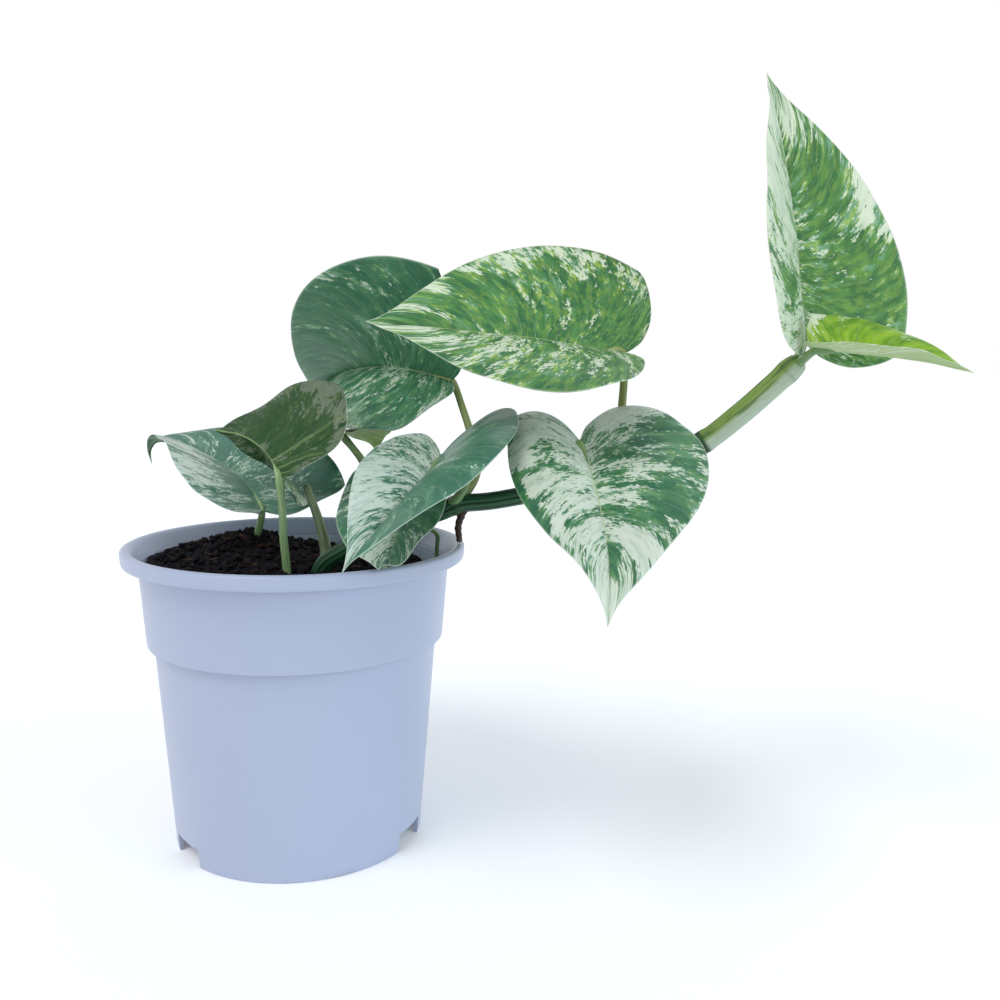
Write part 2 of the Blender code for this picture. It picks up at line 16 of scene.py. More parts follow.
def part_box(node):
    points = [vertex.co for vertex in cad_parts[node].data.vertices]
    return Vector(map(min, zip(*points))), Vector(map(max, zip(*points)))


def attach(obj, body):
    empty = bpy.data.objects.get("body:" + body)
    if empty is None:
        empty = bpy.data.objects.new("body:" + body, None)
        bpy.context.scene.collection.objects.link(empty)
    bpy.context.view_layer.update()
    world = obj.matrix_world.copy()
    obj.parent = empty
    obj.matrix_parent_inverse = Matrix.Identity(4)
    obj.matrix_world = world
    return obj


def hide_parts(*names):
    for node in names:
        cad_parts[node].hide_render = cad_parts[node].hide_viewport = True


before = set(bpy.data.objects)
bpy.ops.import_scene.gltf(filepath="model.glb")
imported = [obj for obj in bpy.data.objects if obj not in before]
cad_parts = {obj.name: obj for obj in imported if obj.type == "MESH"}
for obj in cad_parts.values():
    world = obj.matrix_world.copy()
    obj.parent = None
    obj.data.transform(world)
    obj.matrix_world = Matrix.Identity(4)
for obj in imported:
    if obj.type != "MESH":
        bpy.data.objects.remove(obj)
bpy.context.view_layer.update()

bl_info = {
    "name": "Potted Marble Pothos",
    "version": (1, 0, 0),
    "blender": (4, 5, 0),
    "location": "View3D > Sidebar > Pothos",
    "description": "Builds a variegated trailing plant in a nursery pot around its packed model",
    "category": "Object",
}

BODY = "root"
GAP = 0.0003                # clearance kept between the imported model's pieces
CENTIMETRE = 0.01           # the surface maps of leaves and stems count in centimetres

# The pot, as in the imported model: its height and rim come from the model itself.
POT_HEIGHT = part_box("pot")[1].z
RIM_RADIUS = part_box("pot")[1].x
LIP_OVERHANG = 0.0055
LIP_HEIGHT = 0.0049
COLLAR_HEIGHT = 0.0308
COLLAR_TAPER = 0.0019
STEP_IN = 0.0022
FOOT_RADIUS = 0.0404
WALL = 0.0012
FLOOR_LIFT = 0.0065
CHANNEL_WIDTH = 0.0150
CHANNEL_SLOPE = 0.0030
DRAIN_HOLES = 6
DRAIN_RADIUS = 0.0030
NOTCHES = (101, 221, 341)
NOTCH_WIDTH = 0.0148
NOTCH_HEIGHT = 0.0062
LIP_INSIDE = 0.0030         # the lip's inner edge begins this far under the rim
LIP_ROUNDING = 0.0016
EDGE_ROUNDING = 0.0006
ROUNDING_STEPS = 6

SOIL_RINGS = 84
SOIL_STEPS = 300
SOIL_BRINK = 0.985          # past this share of its radius the soil keeps to the leaning wall
SOIL_DROP = 0.0080
SOIL_TILT = 0.060
MOUND = (-0.018, 0.015)
MOUND_HEIGHT = 0.0075
MOUND_SPREAD = 0.013
CRUMB_SIZE = 0.0009
CHIP_SIZE = 0.0013
LITTER_EDGE = 0.0016        # what lies on the soil keeps this far from the wall
LITTER_SINK = 0.10          # and sinks into it by this share of its size
HEAP_SHARE = 0.25           # how much of it lies on the heap

VINE_RADIUS = 0.0028        # dark old stem that leaves the soil
SHOOT_RADIUS = 0.0036       # pale young stem towards the tip of the vine
PETIOLE_RADIUS = 0.0015
PETIOLE_TOP = 0.0010        # petiole radius where it meets the blade
ROOT_RADIUS = 0.0013
ROOT_FOOT = 0.0010          # the aerial root's foot outside the middle of the lip
ROOT_BEND = -0.0003         # how far its bend lies along X from its foot
ROOT_BEND_SHARE = 0.46      # and how much of the way up from its foot to the vine

# Half of a heart-shaped blade laid flat: half widths across, lengths along from the petiole.
OUTLINE = (
    (0.00, 0.00), (0.16, -0.10), (0.50, -0.165), (0.86, -0.09), (1.00, 0.12), (0.93, 0.34),
    (0.69, 0.57), (0.36, 0.77), (0.12, 0.90), (0.035, 0.96), (0.00, 1.00),
)

# The leaves. base: x, y and height above the rim plane. heading, rise and roll aim the midrib and
# the face. left and right are half widths. fold lifts each half at the midrib and curl bends it
# towards its margin. droop, sweep, twist and tip_droop bend the midrib. lobe scales the lobes, and
# lobe_lift raises them. curl_under turns the last of the tip down.
LEAVES = {
    "leaf_1": dict(base=(-0.0137, 0.0115, 0.0084), heading=118, rise=25, roll=32, length=0.089,
                   left=0.0285, right=0.0306, lobe=0.69, fold=(-3, 45), curl=(-12, 12), droop=38,
                   sweep=-24, twist=-7, tip_droop=12, lobe_lift=-35, curl_under=110),
    "leaf_2": dict(base=(-0.0020, -0.0132, 0.0229), heading=120, rise=34, roll=54, length=0.051,
                   left=0.032, right=0.016, lobe=0.55, fold=(70, 5), curl=(0, 0), droop=43,
                   sweep=22, twist=-19, tip_droop=-25, lobe_lift=24),
    "leaf_3": dict(base=(0.0490, 0.0256, 0.0527), heading=150, rise=15, roll=-63, length=0.094,
                   left=0.0354, right=0.0454, lobe=0.66, fold=(46, 49), curl=(-28, 19), droop=51,
                   sweep=-22, twist=24, tip_droop=-8, lobe_lift=-35),
    "leaf_4": dict(base=(0.1043, -0.0101, 0.0622), heading=174.6, rise=10.4, roll=-27.5, length=0.0805,
                   left=0.0406, right=0.0386, lobe=0.61, fold=(22.5, 13), curl=(-17, 18), droop=-1,
                   sweep=-20.6, twist=28, tip_droop=-3, lobe_lift=-35),
    "leaf_5": dict(base=(0.0476, -0.0142, 0.0293), heading=-103, rise=-14, roll=14, length=0.074,
                   left=0.031, right=0.0189, lobe=1.08, fold=(29, 32), curl=(-26, -7), droop=3,
                   sweep=8, twist=21, tip_droop=13, lobe_lift=-14),
    "leaf_6": dict(base=(0.0902, -0.0235, 0.0357), heading=-78.4, rise=-29.3, roll=3.5, length=0.078,
                   left=0.0338, right=0.0240, lobe=1.31, fold=(9.7, 26.6), curl=(-5.6, -56.5), droop=-5,
                   sweep=16.7, twist=-12.7, tip_droop=40, lobe_lift=12),
    "leaf_7": dict(base=(0.1619, -0.0042, 0.0664), heading=93, rise=75, roll=20, length=0.090,
                   left=0.0336, right=0.0338, lobe=0.55, fold=(42, 17), curl=(-10, 6), droop=1,
                   sweep=-12.6, twist=8, tip_droop=2, lobe_lift=-9),
    "leaf_8": dict(base=(0.1600, -0.0210, 0.0644), heading=-5.6, rise=-3, roll=-5, length=0.0470,
                   left=0.0165, right=0.0174, lobe=0.60, fold=(67, -5), curl=(-36, 8), droop=8,
                   sweep=-3.5, twist=10, tip_droop=11, lobe_lift=-45),
    "leaf_9": dict(base=(0.0380, -0.0061, 0.0232), heading=-97.5, rise=-36, roll=5.7, length=0.058,
                   left=0.0156, right=0.0219, lobe=0.76, fold=(1, 2), curl=(25, -8), droop=-25,
                   sweep=-11.5, twist=8.5, tip_droop=-36, lobe_lift=2),
    "leaf_10": dict(base=(0.0107, 0.0255, 0.0345), heading=80, rise=0, roll=0, length=0.044,
                    left=0.014, right=0.015, lobe=0.8, fold=(14, 14), curl=(-15, -15), droop=25,
                    sweep=0, twist=0, tip_droop=10, lobe_lift=0),
}

# The vine's route and the petioles' bends, in the same terms as the leaves' bases.
VINE = (
    (0.006, -0.004, -0.022), (0.0085, -0.0048, -0.0085), (0.015, -0.006, -0.0025), (0.0262, -0.005, 0.0027),
    (0.0357, -0.003, 0.0067), (0.0469, -0.001, 0.0105), (0.0534, 0.0, 0.0131), (0.0632, 0.001, 0.0141),
    (0.073, 0.001, 0.0159), (0.0861, 0.002, 0.0185), (0.104, 0.002, 0.0227), (0.1184, 0.001, 0.0279),
    (0.1315, -0.001, 0.0342), (0.1426, -0.004, 0.0437), (0.1512, -0.006, 0.0521), (0.1578, -0.008, 0.0590),
)
SHOOT_STARTS = 0.70         # how far along the vine the pale stem begins, 0 to 1
SHOOT_BLEND = 0.02          # the vine widens over this much to each side of it
VINE_STEP = 0.004           # between the places where the vine is measured
RIDGE_SIDES = 44            # facets that the vine's ridges need beyond a plain stem's

# Where each petiole that springs from the vine starts along it, 0 to 1, and its bends on the way.
VINE_PETIOLES = {
    "leaf_3": (0.345, [(0.0584, 0.006, 0.0225), (0.0567, 0.015, 0.033), (0.0533, 0.0215, 0.0430)]),
    "leaf_4": (0.645, [(0.1042, 0.0008, 0.0330), (0.1049, -0.004, 0.0452)]),
    "leaf_5": (0.330, [(0.0552, -0.0050, 0.0200), (0.0545, -0.0115, 0.0275)]),
    "leaf_6": (0.600, [(0.0965, -0.007, 0.0262)]),
    "leaf_9": (0.235, [(0.0385, -0.0020, 0.0165)]),
    "leaf_10": (0.175, [(0.0275, 0.003, 0.0150), (0.0193, 0.013, 0.0262)]),
}
# Petioles that rise from the soil: their points, from below the soil upwards.
SOIL_PETIOLES = {
    "leaf_1": [(-0.0158, 0.013, -0.019), (-0.0163, 0.013, -0.0076), (-0.0165, 0.013, -0.0020)],
    "leaf_2": [(-0.0004, -0.013, -0.020), (-0.0007, -0.013, -0.0069), (-0.0014, -0.0135, 0.0029),
               (-0.0017, -0.0135, 0.0124)],
}
STUB = [(0.0060, 0.0040, -0.021), (0.0075, 0.0052, -0.0090), (0.0083, 0.006, -0.0046),
        (0.0063, 0.007, 0.0044), (0.0017, 0.008, 0.0174)]
STUB_RADII = (0.0026, 0.0012)          # at its foot and at its cut top
# Both roots hang from the vine by the pot's rim, so their places along X are counted from it.
SHEATH_REACH = 0.0004                  # the vine's sheathed aerial root leaves it this far past the rim
FEEDER_REACH = -0.0175                 # the thin green root leaves it this far inside the rim
FEEDER = [(-0.0098, 0.0015, 0.0034), (-0.0093, 0.0036, -0.0026), (-0.0106, 0.0040, -0.019)]
FEEDER_RADIUS = 0.0007
FEEDER_SIDES = 14

# How each blade is coloured. cream: how white the left and right halves are, where 0.5 is half white.
# cool: how blue its greens are. gold and grey: how much yellow-green and grey-green shows. ripple: how
# wavy its margin is. fresh: how far its greens turn to yellow-green. back: how much the plain underside
# colour, or its own under, covers its back. ribs: places of raised veins on the back. patches: side (-1 left,
# 1 right), place from midrib to margin and from petiole to tip, reach in each direction, and how much
# whiter that spot is.
LOOKS = {
    "leaf_1": dict(cream=(0.42, 0.30), cool=0.95, gold=0.15, grey=0.70, ripple=0.7, patches=(
        (-1, 0.80, 0.50, 0.40, 0.18, 0.16), (1, 0.30, 0.35, 0.30, 0.15, 0.12),
        (-1, 0.15, 0.35, 0.25, 0.15, -0.12))),
    "leaf_2": dict(cream=(0.34, 0.38), cool=0.25, gold=0.55, grey=0.35, ripple=0.8, back=0.80,
                   under=(0.016, 0.042, 0.008), ribs=(0.10, 0.21, 0.34), patches=(
        (-1, 0.97, 0.45, 0.16, 0.30, 0.34), (1, 0.70, 0.50, 0.40, 0.30, 0.10))),
    "leaf_3": dict(cream=(0.32, 0.19), cool=0.55, gold=0.30, grey=1.0, ripple=0.5, patches=(
        (-1, 0.95, 0.62, 0.20, 0.08, 0.30), (-1, 0.85, 0.20, 0.30, 0.12, 0.12),
        (1, 0.40, 0.40, 0.45, 0.14, 0.12), (1, 0.80, 0.75, 0.35, 0.12, -0.20))),
    "leaf_4": dict(cream=(0.44, 0.25), cool=0.15, fresh=0.12, gold=0.85, grey=0.45, ripple=0.5, patches=(
        (1, 0.18, 0.86, 0.22, 0.050, -0.60), (1, 0.75, 0.80, 0.45, 0.070, 0.26),
        (1, 0.95, 0.40, 0.12, 0.30, 0.22), (1, 0.25, 0.20, 0.30, 0.12, -0.16),
        (-1, 0.92, 0.42, 0.12, 0.14, -0.30), (-1, 0.50, 0.80, 0.50, 0.06, 0.16))),
    "leaf_5": dict(cream=(0.24, 0.56), cool=0.85, gold=0.15, grey=0.75, ripple=0.4, patches=(
        (1, 0.50, 0.30, 0.30, 0.10, -0.12), (1, 0.80, 0.60, 0.30, 0.20, 0.14),
        (-1, 0.20, 0.88, 0.40, 0.10, 0.25))),
    "leaf_6": dict(cream=(0.50, 0.60), cool=0.35, gold=0.25, grey=0.50, ripple=0.35, patches=(
        (1, 0.97, 0.52, 0.08, 0.12, -0.60), (1, 0.45, 0.38, 0.25, 0.06, -0.16),
        (-1, 0.75, 0.20, 0.40, 0.07, 0.34), (-1, 0.85, 0.37, 0.20, 0.055, -0.40),
        (-1, 0.70, 0.58, 0.30, 0.06, -0.40), (-1, 0.45, 0.74, 0.40, 0.045, 0.45),
        (-1, 0.15, 0.80, 0.20, 0.06, -0.45), (-1, 0.60, 0.93, 0.60, 0.05, 0.30),
        (1, 0.60, 0.93, 0.60, 0.05, 0.20))),
    "leaf_7": dict(cream=(0.58, 0.34), cool=0.10, fresh=0.18, gold=0.70, grey=0.85, ripple=0.4, patches=(
        (-1, 0.50, 0.42, 0.40, 0.08, -0.25), (1, 0.60, 0.84, 0.50, 0.07, 0.30),
        (1, 0.90, 0.60, 0.20, 0.08, 0.24), (1, 0.60, 0.66, 0.25, 0.05, -0.25),
        (1, 0.55, 0.38, 0.40, 0.10, -0.22))),
    "leaf_8": dict(cream=(0.34, 0.36), cool=0.0, fresh=1.0, gold=1.0, grey=0.10, ripple=0.3, back=0.70,
                   under=(0.42, 0.52, 0.30), patches=(
        (-1, 0.90, 0.30, 0.30, 0.10, 0.40), (-1, 0.50, 0.50, 0.40, 0.15, -0.25))),
    "leaf_9": dict(cream=(0.32, 0.40), cool=0.65, gold=0.20, grey=0.50, ripple=0.9, patches=(
        (-1, 0.80, 0.40, 0.40, 0.15, -0.15), (1, 0.50, 0.80, 0.50, 0.12, 0.14))),
    "leaf_10": dict(cream=(0.25, 0.25), cool=0.1, gold=0.9, grey=0.2, ripple=0.5, back=0.75,
                    under=(0.16, 0.28, 0.04), patches=()),
}
STEM_NODES = (0.175, 0.240, 0.345, 0.490, 0.625, 0.800, 0.985)    # shares of the vine where leaves grew
PALE_NODE = STEM_NODES[5]                                         # the one where the stem turns pale

# Where the camera stands, in metres and degrees.
CAMERA_PLACE = (0.06645, -0.32002, 0.15534)
CAMERA_PITCH = 7.68           # looking down
CAMERA_ROLL = 0.71
CAMERA_LENS = 35.58           # millimetres, as is the sensor's width
CAMERA_SENSOR = 36.0
FLOOR_REACH = 60.0

# The suns: where each shines from, how soft it is in degrees, and its colour.
LIGHTS = {
    "key": ((-0.45, -0.55, 1.15), 28, (1.0, 0.99, 0.97)),
    "fill": ((1.00, -0.38, 0.32), 36, (0.58, 0.82, 1.0)),
}

VEIN_SWEEP = 0.10             # how far forward the side veins run by the margin
VEIN_SPACING = 0.0080
MIDRIB_STATIONS = 97          # places where a blade's bending is worked out
MARGIN_REACH = 0.0022         # a blade thins out over this much at its margin
BLADE_LUMPS = 0.016           # how wide the soft lumps of a blade are


# ---------------------------------------------------------------- settings a user would change
def colour_setting(name, description, default):
    return FloatVectorProperty(name=name, description=description, subtype="COLOR", size=3, min=0, max=1,
                               default=default)


def count_setting(name, description, default, least=0):
    return IntProperty(name=name, description=description, default=default, min=least)


def length_setting(name, description, default, least=0.0):
    return FloatProperty(name=name, description=description, default=default, min=least, unit="LENGTH",
                         precision=5)


def strength_setting(name, description, default):
    return FloatProperty(name=name, description=description, default=default, min=0)


class PothosPotSettings(bpy.types.PropertyGroup):
    facets: count_setting("Facets", "Steps round the pot", 168, 24)
    plastic: colour_setting("Plastic", "Colour of the moulded pot", (0.362, 0.412, 0.545))
    lit: colour_setting("Lit wall", "The wall over the soil, where light shines in", (0.56, 0.67, 0.86))
    # The crease colour is painted shade: thin dark bands for the shadow lines under the lip and at the
    # collar's step.
    crease_shade: colour_setting("Crease", "Dust in the creases under the lip and the collar", (0.15, 0.15, 0.25))
    grime: colour_setting("Grime", "Dust and dried compost on the pot", (0.10, 0.075, 0.055))


class PothosSoilSettings(bpy.types.PropertyGroup):
    crumbs: count_setting("Crumbs", "Loose crumbs lying on the soil", 1100)
    chips: count_setting("Chips", "Bits of bark lying on the soil", 70)
    roughness: length_setting("Roughness", "Height of the clods", 0.0016)
    peat: colour_setting("Peat", "Colour of the damp compost", (0.0045, 0.0042, 0.0075))
    bark: colour_setting("Bark", "Colour of the bark chips", (0.055, 0.026, 0.014))


class PothosStemSettings(bpy.types.PropertyGroup):
    sides: count_setting("Sides", "Facets round a stem", 28, 8)
    old: colour_setting("Old stem", "Colour of the woody part of the vine", (0.007, 0.036, 0.015))
    young: colour_setting("Young stem", "Colour of the growing part of the vine", (0.17, 0.27, 0.055))
    pale: colour_setting("Pale side", "Shaded side of the young stem", (0.36, 0.45, 0.34))
    petiole: colour_setting("Petiole", "Colour of the leaf stalks", (0.105, 0.22, 0.080))
    husk: colour_setting("Husk", "Dry sheaths and aerial roots", (0.055, 0.030, 0.020))


class PothosLeafSettings(bpy.types.PropertyGroup):
    thickness: length_setting("Thickness", "Thickness of a blade", 0.00055, 0.0001)
    rows: count_setting("Rows", "Rows from petiole to tip", 104, 12)
    columns: count_setting("Columns", "Columns in each half", 36, 4)
    deep: colour_setting("Deep green", "The darkest green", (0.016, 0.115, 0.040))
    bright: colour_setting("Bright green", "The fresh green", (0.066, 0.225, 0.058))
    blue: colour_setting("Blue green", "Green of the leaves that grow in shade", (0.055, 0.185, 0.135))
    grey: colour_setting("Grey green", "Green with a thin white layer over it", (0.165, 0.345, 0.210))
    gold: colour_setting("Yellow green", "Yellow-green flecks", (0.36, 0.52, 0.055))
    cream: colour_setting("Cream", "The white of the variegation", (0.64, 0.705, 0.60))
    under: colour_setting("Underside", "The matt back of a blade", (0.050, 0.100, 0.028))


class PothosStageSettings(bpy.types.PropertyGroup):
    floor: colour_setting("Floor", "Pale floor and backdrop", (0.93, 0.94, 0.96))
    key: strength_setting("Key light", "Strength of the main light", 1.05)
    fill: strength_setting("Fill light", "Strength of the light from the right", 0.75)
    sky: strength_setting("Sky", "Strength of the light all round", 1.0)


# ---------------------------------------------------------------- small helpers
def above_rim(point):
    """A place given by its height above the rim plane, in the pot's own frame."""
    return Vector((point[0], point[1], POT_HEIGHT + point[2]))


def smooth_curve(points, step):
    """Points about one step apart on a smooth curve through the given ones."""
    points = [Vector(p) for p in points]
    ends = [2 * points[0] - points[1]] + points + [2 * points[-1] - points[-2]]
    result = []
    for i in range(1, len(ends) - 2):
        before, start, end, after = ends[i - 1:i + 3]
        pieces = max(1, round((end - start).length / step))
        for k in range(pieces):
            t = k / pieces
            result.append(0.5 * (2 * start + (end - before) * t
                                 + (2 * before - 5 * start + 4 * end - after) * t ** 2
                                 + (3 * start - before - 3 * end + after) * t ** 3))
    return result + [points[-1]]


def finish_piece(name, bm, materials, slot, *nodes):
    """Makes the object of a piece, smooth shaded, riding on the body and standing for its nodes."""
    mesh = bpy.data.meshes.new(name)
    bm.to_mesh(mesh)
    bm.free()
    mesh.shade_smooth()
    for material in materials:
        mesh.materials.append(material)
    piece = bpy.data.objects.new(name, mesh)
    bpy.context.scene.collection.objects.link(piece)
    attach(piece, BODY)
    if nodes:
        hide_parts(*nodes)
    return piece


def bump_at(x, y, z, size, seed):
    """Smooth noise from -1 to 1 whose lumps are about one size across."""
    return noise.noise(Vector((x / size + seed, y / size - seed, z / size + 2 * seed)))


# ---------------------------------------------------------------- shader building blocks
def node(tree, kind, inputs=None, **settings):
    """A new node of a kind, with its inputs fed or set and its settings made."""
    made = tree.nodes.new(kind)
    for key, value in settings.items():
        setattr(made, key, value)
    for key, value in (inputs or {}).items():
        if isinstance(value, bpy.types.NodeSocket):
            tree.links.new(value, made.inputs[key])
        else:
            made.inputs[key].default_value = value
    return made


def mixed(tree, factor, first, second):
    """The second colour over the first by a factor."""
    mix = node(tree, "ShaderNodeMix", data_type="RGBA")
    for index, value in ((0, factor), (6, first), (7, second)):
        if isinstance(value, bpy.types.NodeSocket):
            tree.links.new(value, mix.inputs[index])
        elif index == 0:
            mix.inputs[index].default_value = value
        else:
            mix.inputs[index].default_value = (*value[:3], 1.0)
    return mix.outputs[2]


def maths(tree, operation, first, second=0.0, third=0.0):
    return node(tree, "ShaderNodeMath", {0: first, 1: second, 2: third}, operation=operation).outputs[0]


def times(tree, first, second):
    return maths(tree, "MULTIPLY", first, second)


def tinted(tree, colour, mask, share, tint):
    """A colour with a tint over it where a mask is, by a share of the mask."""
    return mixed(tree, times(tree, mask, share), colour, tint)


def step_between(tree, value, low, high):
    """0 below low and 1 above high, or the other way round when low is the larger."""
    return node(tree, "ShaderNodeMapRange", {"Value": value, "From Min": low, "From Max": high},
                interpolation_type="SMOOTHSTEP").outputs["Result"]


def speckle(tree, vector, scale, detail=2.0, rough=0.55, seed=0.0, stretch=(1, 1, 1), warp=0.0):
    """Noise of a given scale, stretched along the axes of its vector."""
    moved = node(tree, "ShaderNodeVectorMath", {0: vector, 1: stretch}, operation="MULTIPLY").outputs[0]
    return node(tree, "ShaderNodeTexNoise", {"Vector": moved, "W": seed, "Scale": scale, "Detail": detail,
                "Roughness": rough, "Distortion": warp}, noise_dimensions="4D").outputs["Fac"]


def make_group(name, inputs, outputs):
    """An empty node group with named sockets: pairs of a name and a socket kind."""
    tree = bpy.data.node_groups.new(name, "ShaderNodeTree")
    for direction, sockets in (("INPUT", inputs), ("OUTPUT", outputs)):
        for label, kind in sockets:
            tree.interface.new_socket(label, in_out=direction, socket_type="NodeSocket" + kind)
    return tree, tree.nodes.new("NodeGroupInput"), tree.nodes.new("NodeGroupOutput")


def finish_group(tree, result, **sockets):
    """Feeds a group's outputs, whose names have a space for each underscore, and returns its tree."""
    for label, socket in sockets.items():
        tree.links.new(socket, result.inputs[label.replace("_", " ")])
    return tree


def place_group(tree, group, **values):
    """A group's node, with its inputs fed or set by name, with an underscore for each space."""
    made = tree.nodes.new("ShaderNodeGroup")
    made.node_tree = group
    for label, value in values.items():
        socket = made.inputs[label.replace("_", " ")]
        if isinstance(value, bpy.types.NodeSocket):
            tree.links.new(value, socket)
        else:
            socket.default_value = value
    return made


def start_material(name, **constants):
    """A material with its shader, whose constant values are set on the shader's own sockets."""
    material = bpy.data.materials.new(name)
    material.use_nodes = True
    shader = material.node_tree.nodes["Principled BSDF"]
    for label, value in constants.items():
        shader.inputs[label.replace("_", " ")].default_value = value
    return material, material.node_tree, shader


def plug(tree, shader, colour, roughness, height=None, depth=0.0, strength=0.0):
    """Feeds a colour, a roughness and, where there is one, a relief into a shader."""
    tree.links.new(colour, shader.inputs["Base Color"])
    tree.links.new(roughness, shader.inputs["Roughness"])
    if height is not None:
        bump = node(tree, "ShaderNodeBump", {"Height": height, "Distance": depth, "Strength": strength})
        tree.links.new(bump.outputs["Normal"], shader.inputs["Normal"])


def surface_map(tree, name):
    return node(tree, "ShaderNodeUVMap", uv_map=name).outputs["UV"]


def object_place(tree):
    return node(tree, "ShaderNodeTexCoord").outputs["Object"]


def marks_of(tree, name):
    """The three numbers that a piece carries on its points."""
    split = node(tree, "ShaderNodeSeparateColor",
                 {"Color": node(tree, "ShaderNodeAttribute", attribute_name=name).outputs["Color"]})
    return split.outputs["Red"], split.outputs["Green"], split.outputs["Blue"]


# ---------------------------------------------------------------- shared effects
def marbling_group():
    """Where a blade is white, grey-green and yellow-green: blotches and flecks along its veins."""
    tree, given, result = make_group(
        "Marbling", (("Veins", "Vector"), ("Whiteness", "Float"), ("Seed", "Float")),
        (("White", "Float"), ("Grey", "Float"), ("Gold", "Float"), ("Tone", "Float")))
    veins, seed = given.outputs["Veins"], given.outputs["Seed"]
    shifted = [maths(tree, "ADD", seed, offset) for offset in (0.0, 7.3, 13.9, 21.1, 31.7)]
    along = (1.0, 3.4, 1.0)
    blotches = speckle(tree, veins, 0.62, 1.0, 0.5, shifted[0], along, 0.35)
    streaks = speckle(tree, veins, 2.3, 3.0, 0.65, shifted[1], along, 0.25)
    flecks = speckle(tree, veins, 7.5, 3.0, 0.70, shifted[2], (1.0, 2.8, 1.0))
    field = given.outputs["Whiteness"]
    for pattern, weight in ((blotches, 0.90), (streaks, 1.15), (flecks, 1.05)):
        field = maths(tree, "MULTIPLY_ADD", maths(tree, "SUBTRACT", pattern, 0.5), weight, field)
    white = step_between(tree, field, 0.475, 0.545)
    haze = speckle(tree, veins, 1.3, 3.0, 0.6, shifted[3], along, 0.3)
    near = maths(tree, "MULTIPLY_ADD", maths(tree, "SUBTRACT", haze, 0.5), 1.1, field)
    grey = step_between(tree, near, 0.37, 0.45)
    sparks = speckle(tree, veins, 2.7, 2.0, 0.6, shifted[4], (1.0, 2.8, 1.0), 0.2)
    gold = times(tree, step_between(tree, sparks, 0.49, 0.56), maths(tree, "MULTIPLY_ADD", grey, 0.7, 0.3))
    milk = maths(tree, "MULTIPLY_ADD", step_between(tree, sparks, 0.34, 0.58), 0.24, 0.74)
    return finish_group(tree, result, White=times(tree, white, milk), Grey=grey, Gold=gold, Tone=haze)


def blade_relief_group():
    """The midrib, the side veins and the cream margin of a blade, with the height of its surface."""
    tree, given, result = make_group(
        "Blade relief", (("Veins", "Vector"), ("Margin", "Float"), ("Place", "Float")),
        (("Midrib", "Float"), ("Side veins", "Float"), ("Margin line", "Float"), ("Height", "Float")))
    split = node(tree, "ShaderNodeSeparateXYZ", {0: given.outputs["Veins"]})
    across, ray = split.outputs["X"], split.outputs["Y"]
    distance = maths(tree, "ABSOLUTE", across)
    width = maths(tree, "MULTIPLY_ADD", given.outputs["Place"], -0.036, 0.046)
    midrib = step_between(tree, maths(tree, "DIVIDE", distance, width), 1.0, 0.35)
    wander = speckle(tree, given.outputs["Veins"], 1.1, 1.0)
    lines = maths(tree, "PINGPONG", maths(tree, "MULTIPLY_ADD", wander, 0.22, ray), 0.16)
    veins = step_between(tree, lines, 0.030, 0.0)
    margin = step_between(tree, given.outputs["Margin"], 0.035, 0.012)
    cells = speckle(tree, given.outputs["Veins"], 26.0, 2.0)
    height = maths(tree, "MULTIPLY_ADD", veins, -0.45, times(tree, cells, 0.30))
    height = maths(tree, "MULTIPLY_ADD", midrib, -0.7, height)
    return finish_group(tree, result, Midrib=midrib, Side_veins=veins, Margin_line=margin, Height=height)


def grain_group():
    """Fine uneven grain: a value that wanders, and the height of a finely pitted surface."""
    tree, given, result = make_group("Fine grain", (("Place", "Vector"), ("Size", "Float")),
                                     (("Wander", "Float"), ("Pits", "Float")))
    scaled = node(tree, "ShaderNodeVectorMath", {0: given.outputs["Place"], "Scale": given.outputs["Size"]},
                  operation="SCALE").outputs[0]
    return finish_group(tree, result, Wander=speckle(tree, scaled, 1.0, 3.0),
                        Pits=speckle(tree, scaled, 9.0, 2.0))


def shared_group(name, build):
    """A shared effect's node group, built the first time it is asked for."""
    return bpy.data.node_groups.get(name) or build()


# ---------------------------------------------------------------- materials
def blend_colours(first, second, share):
    return tuple(a * (1 - share) + b * share for a, b in zip(first, second))


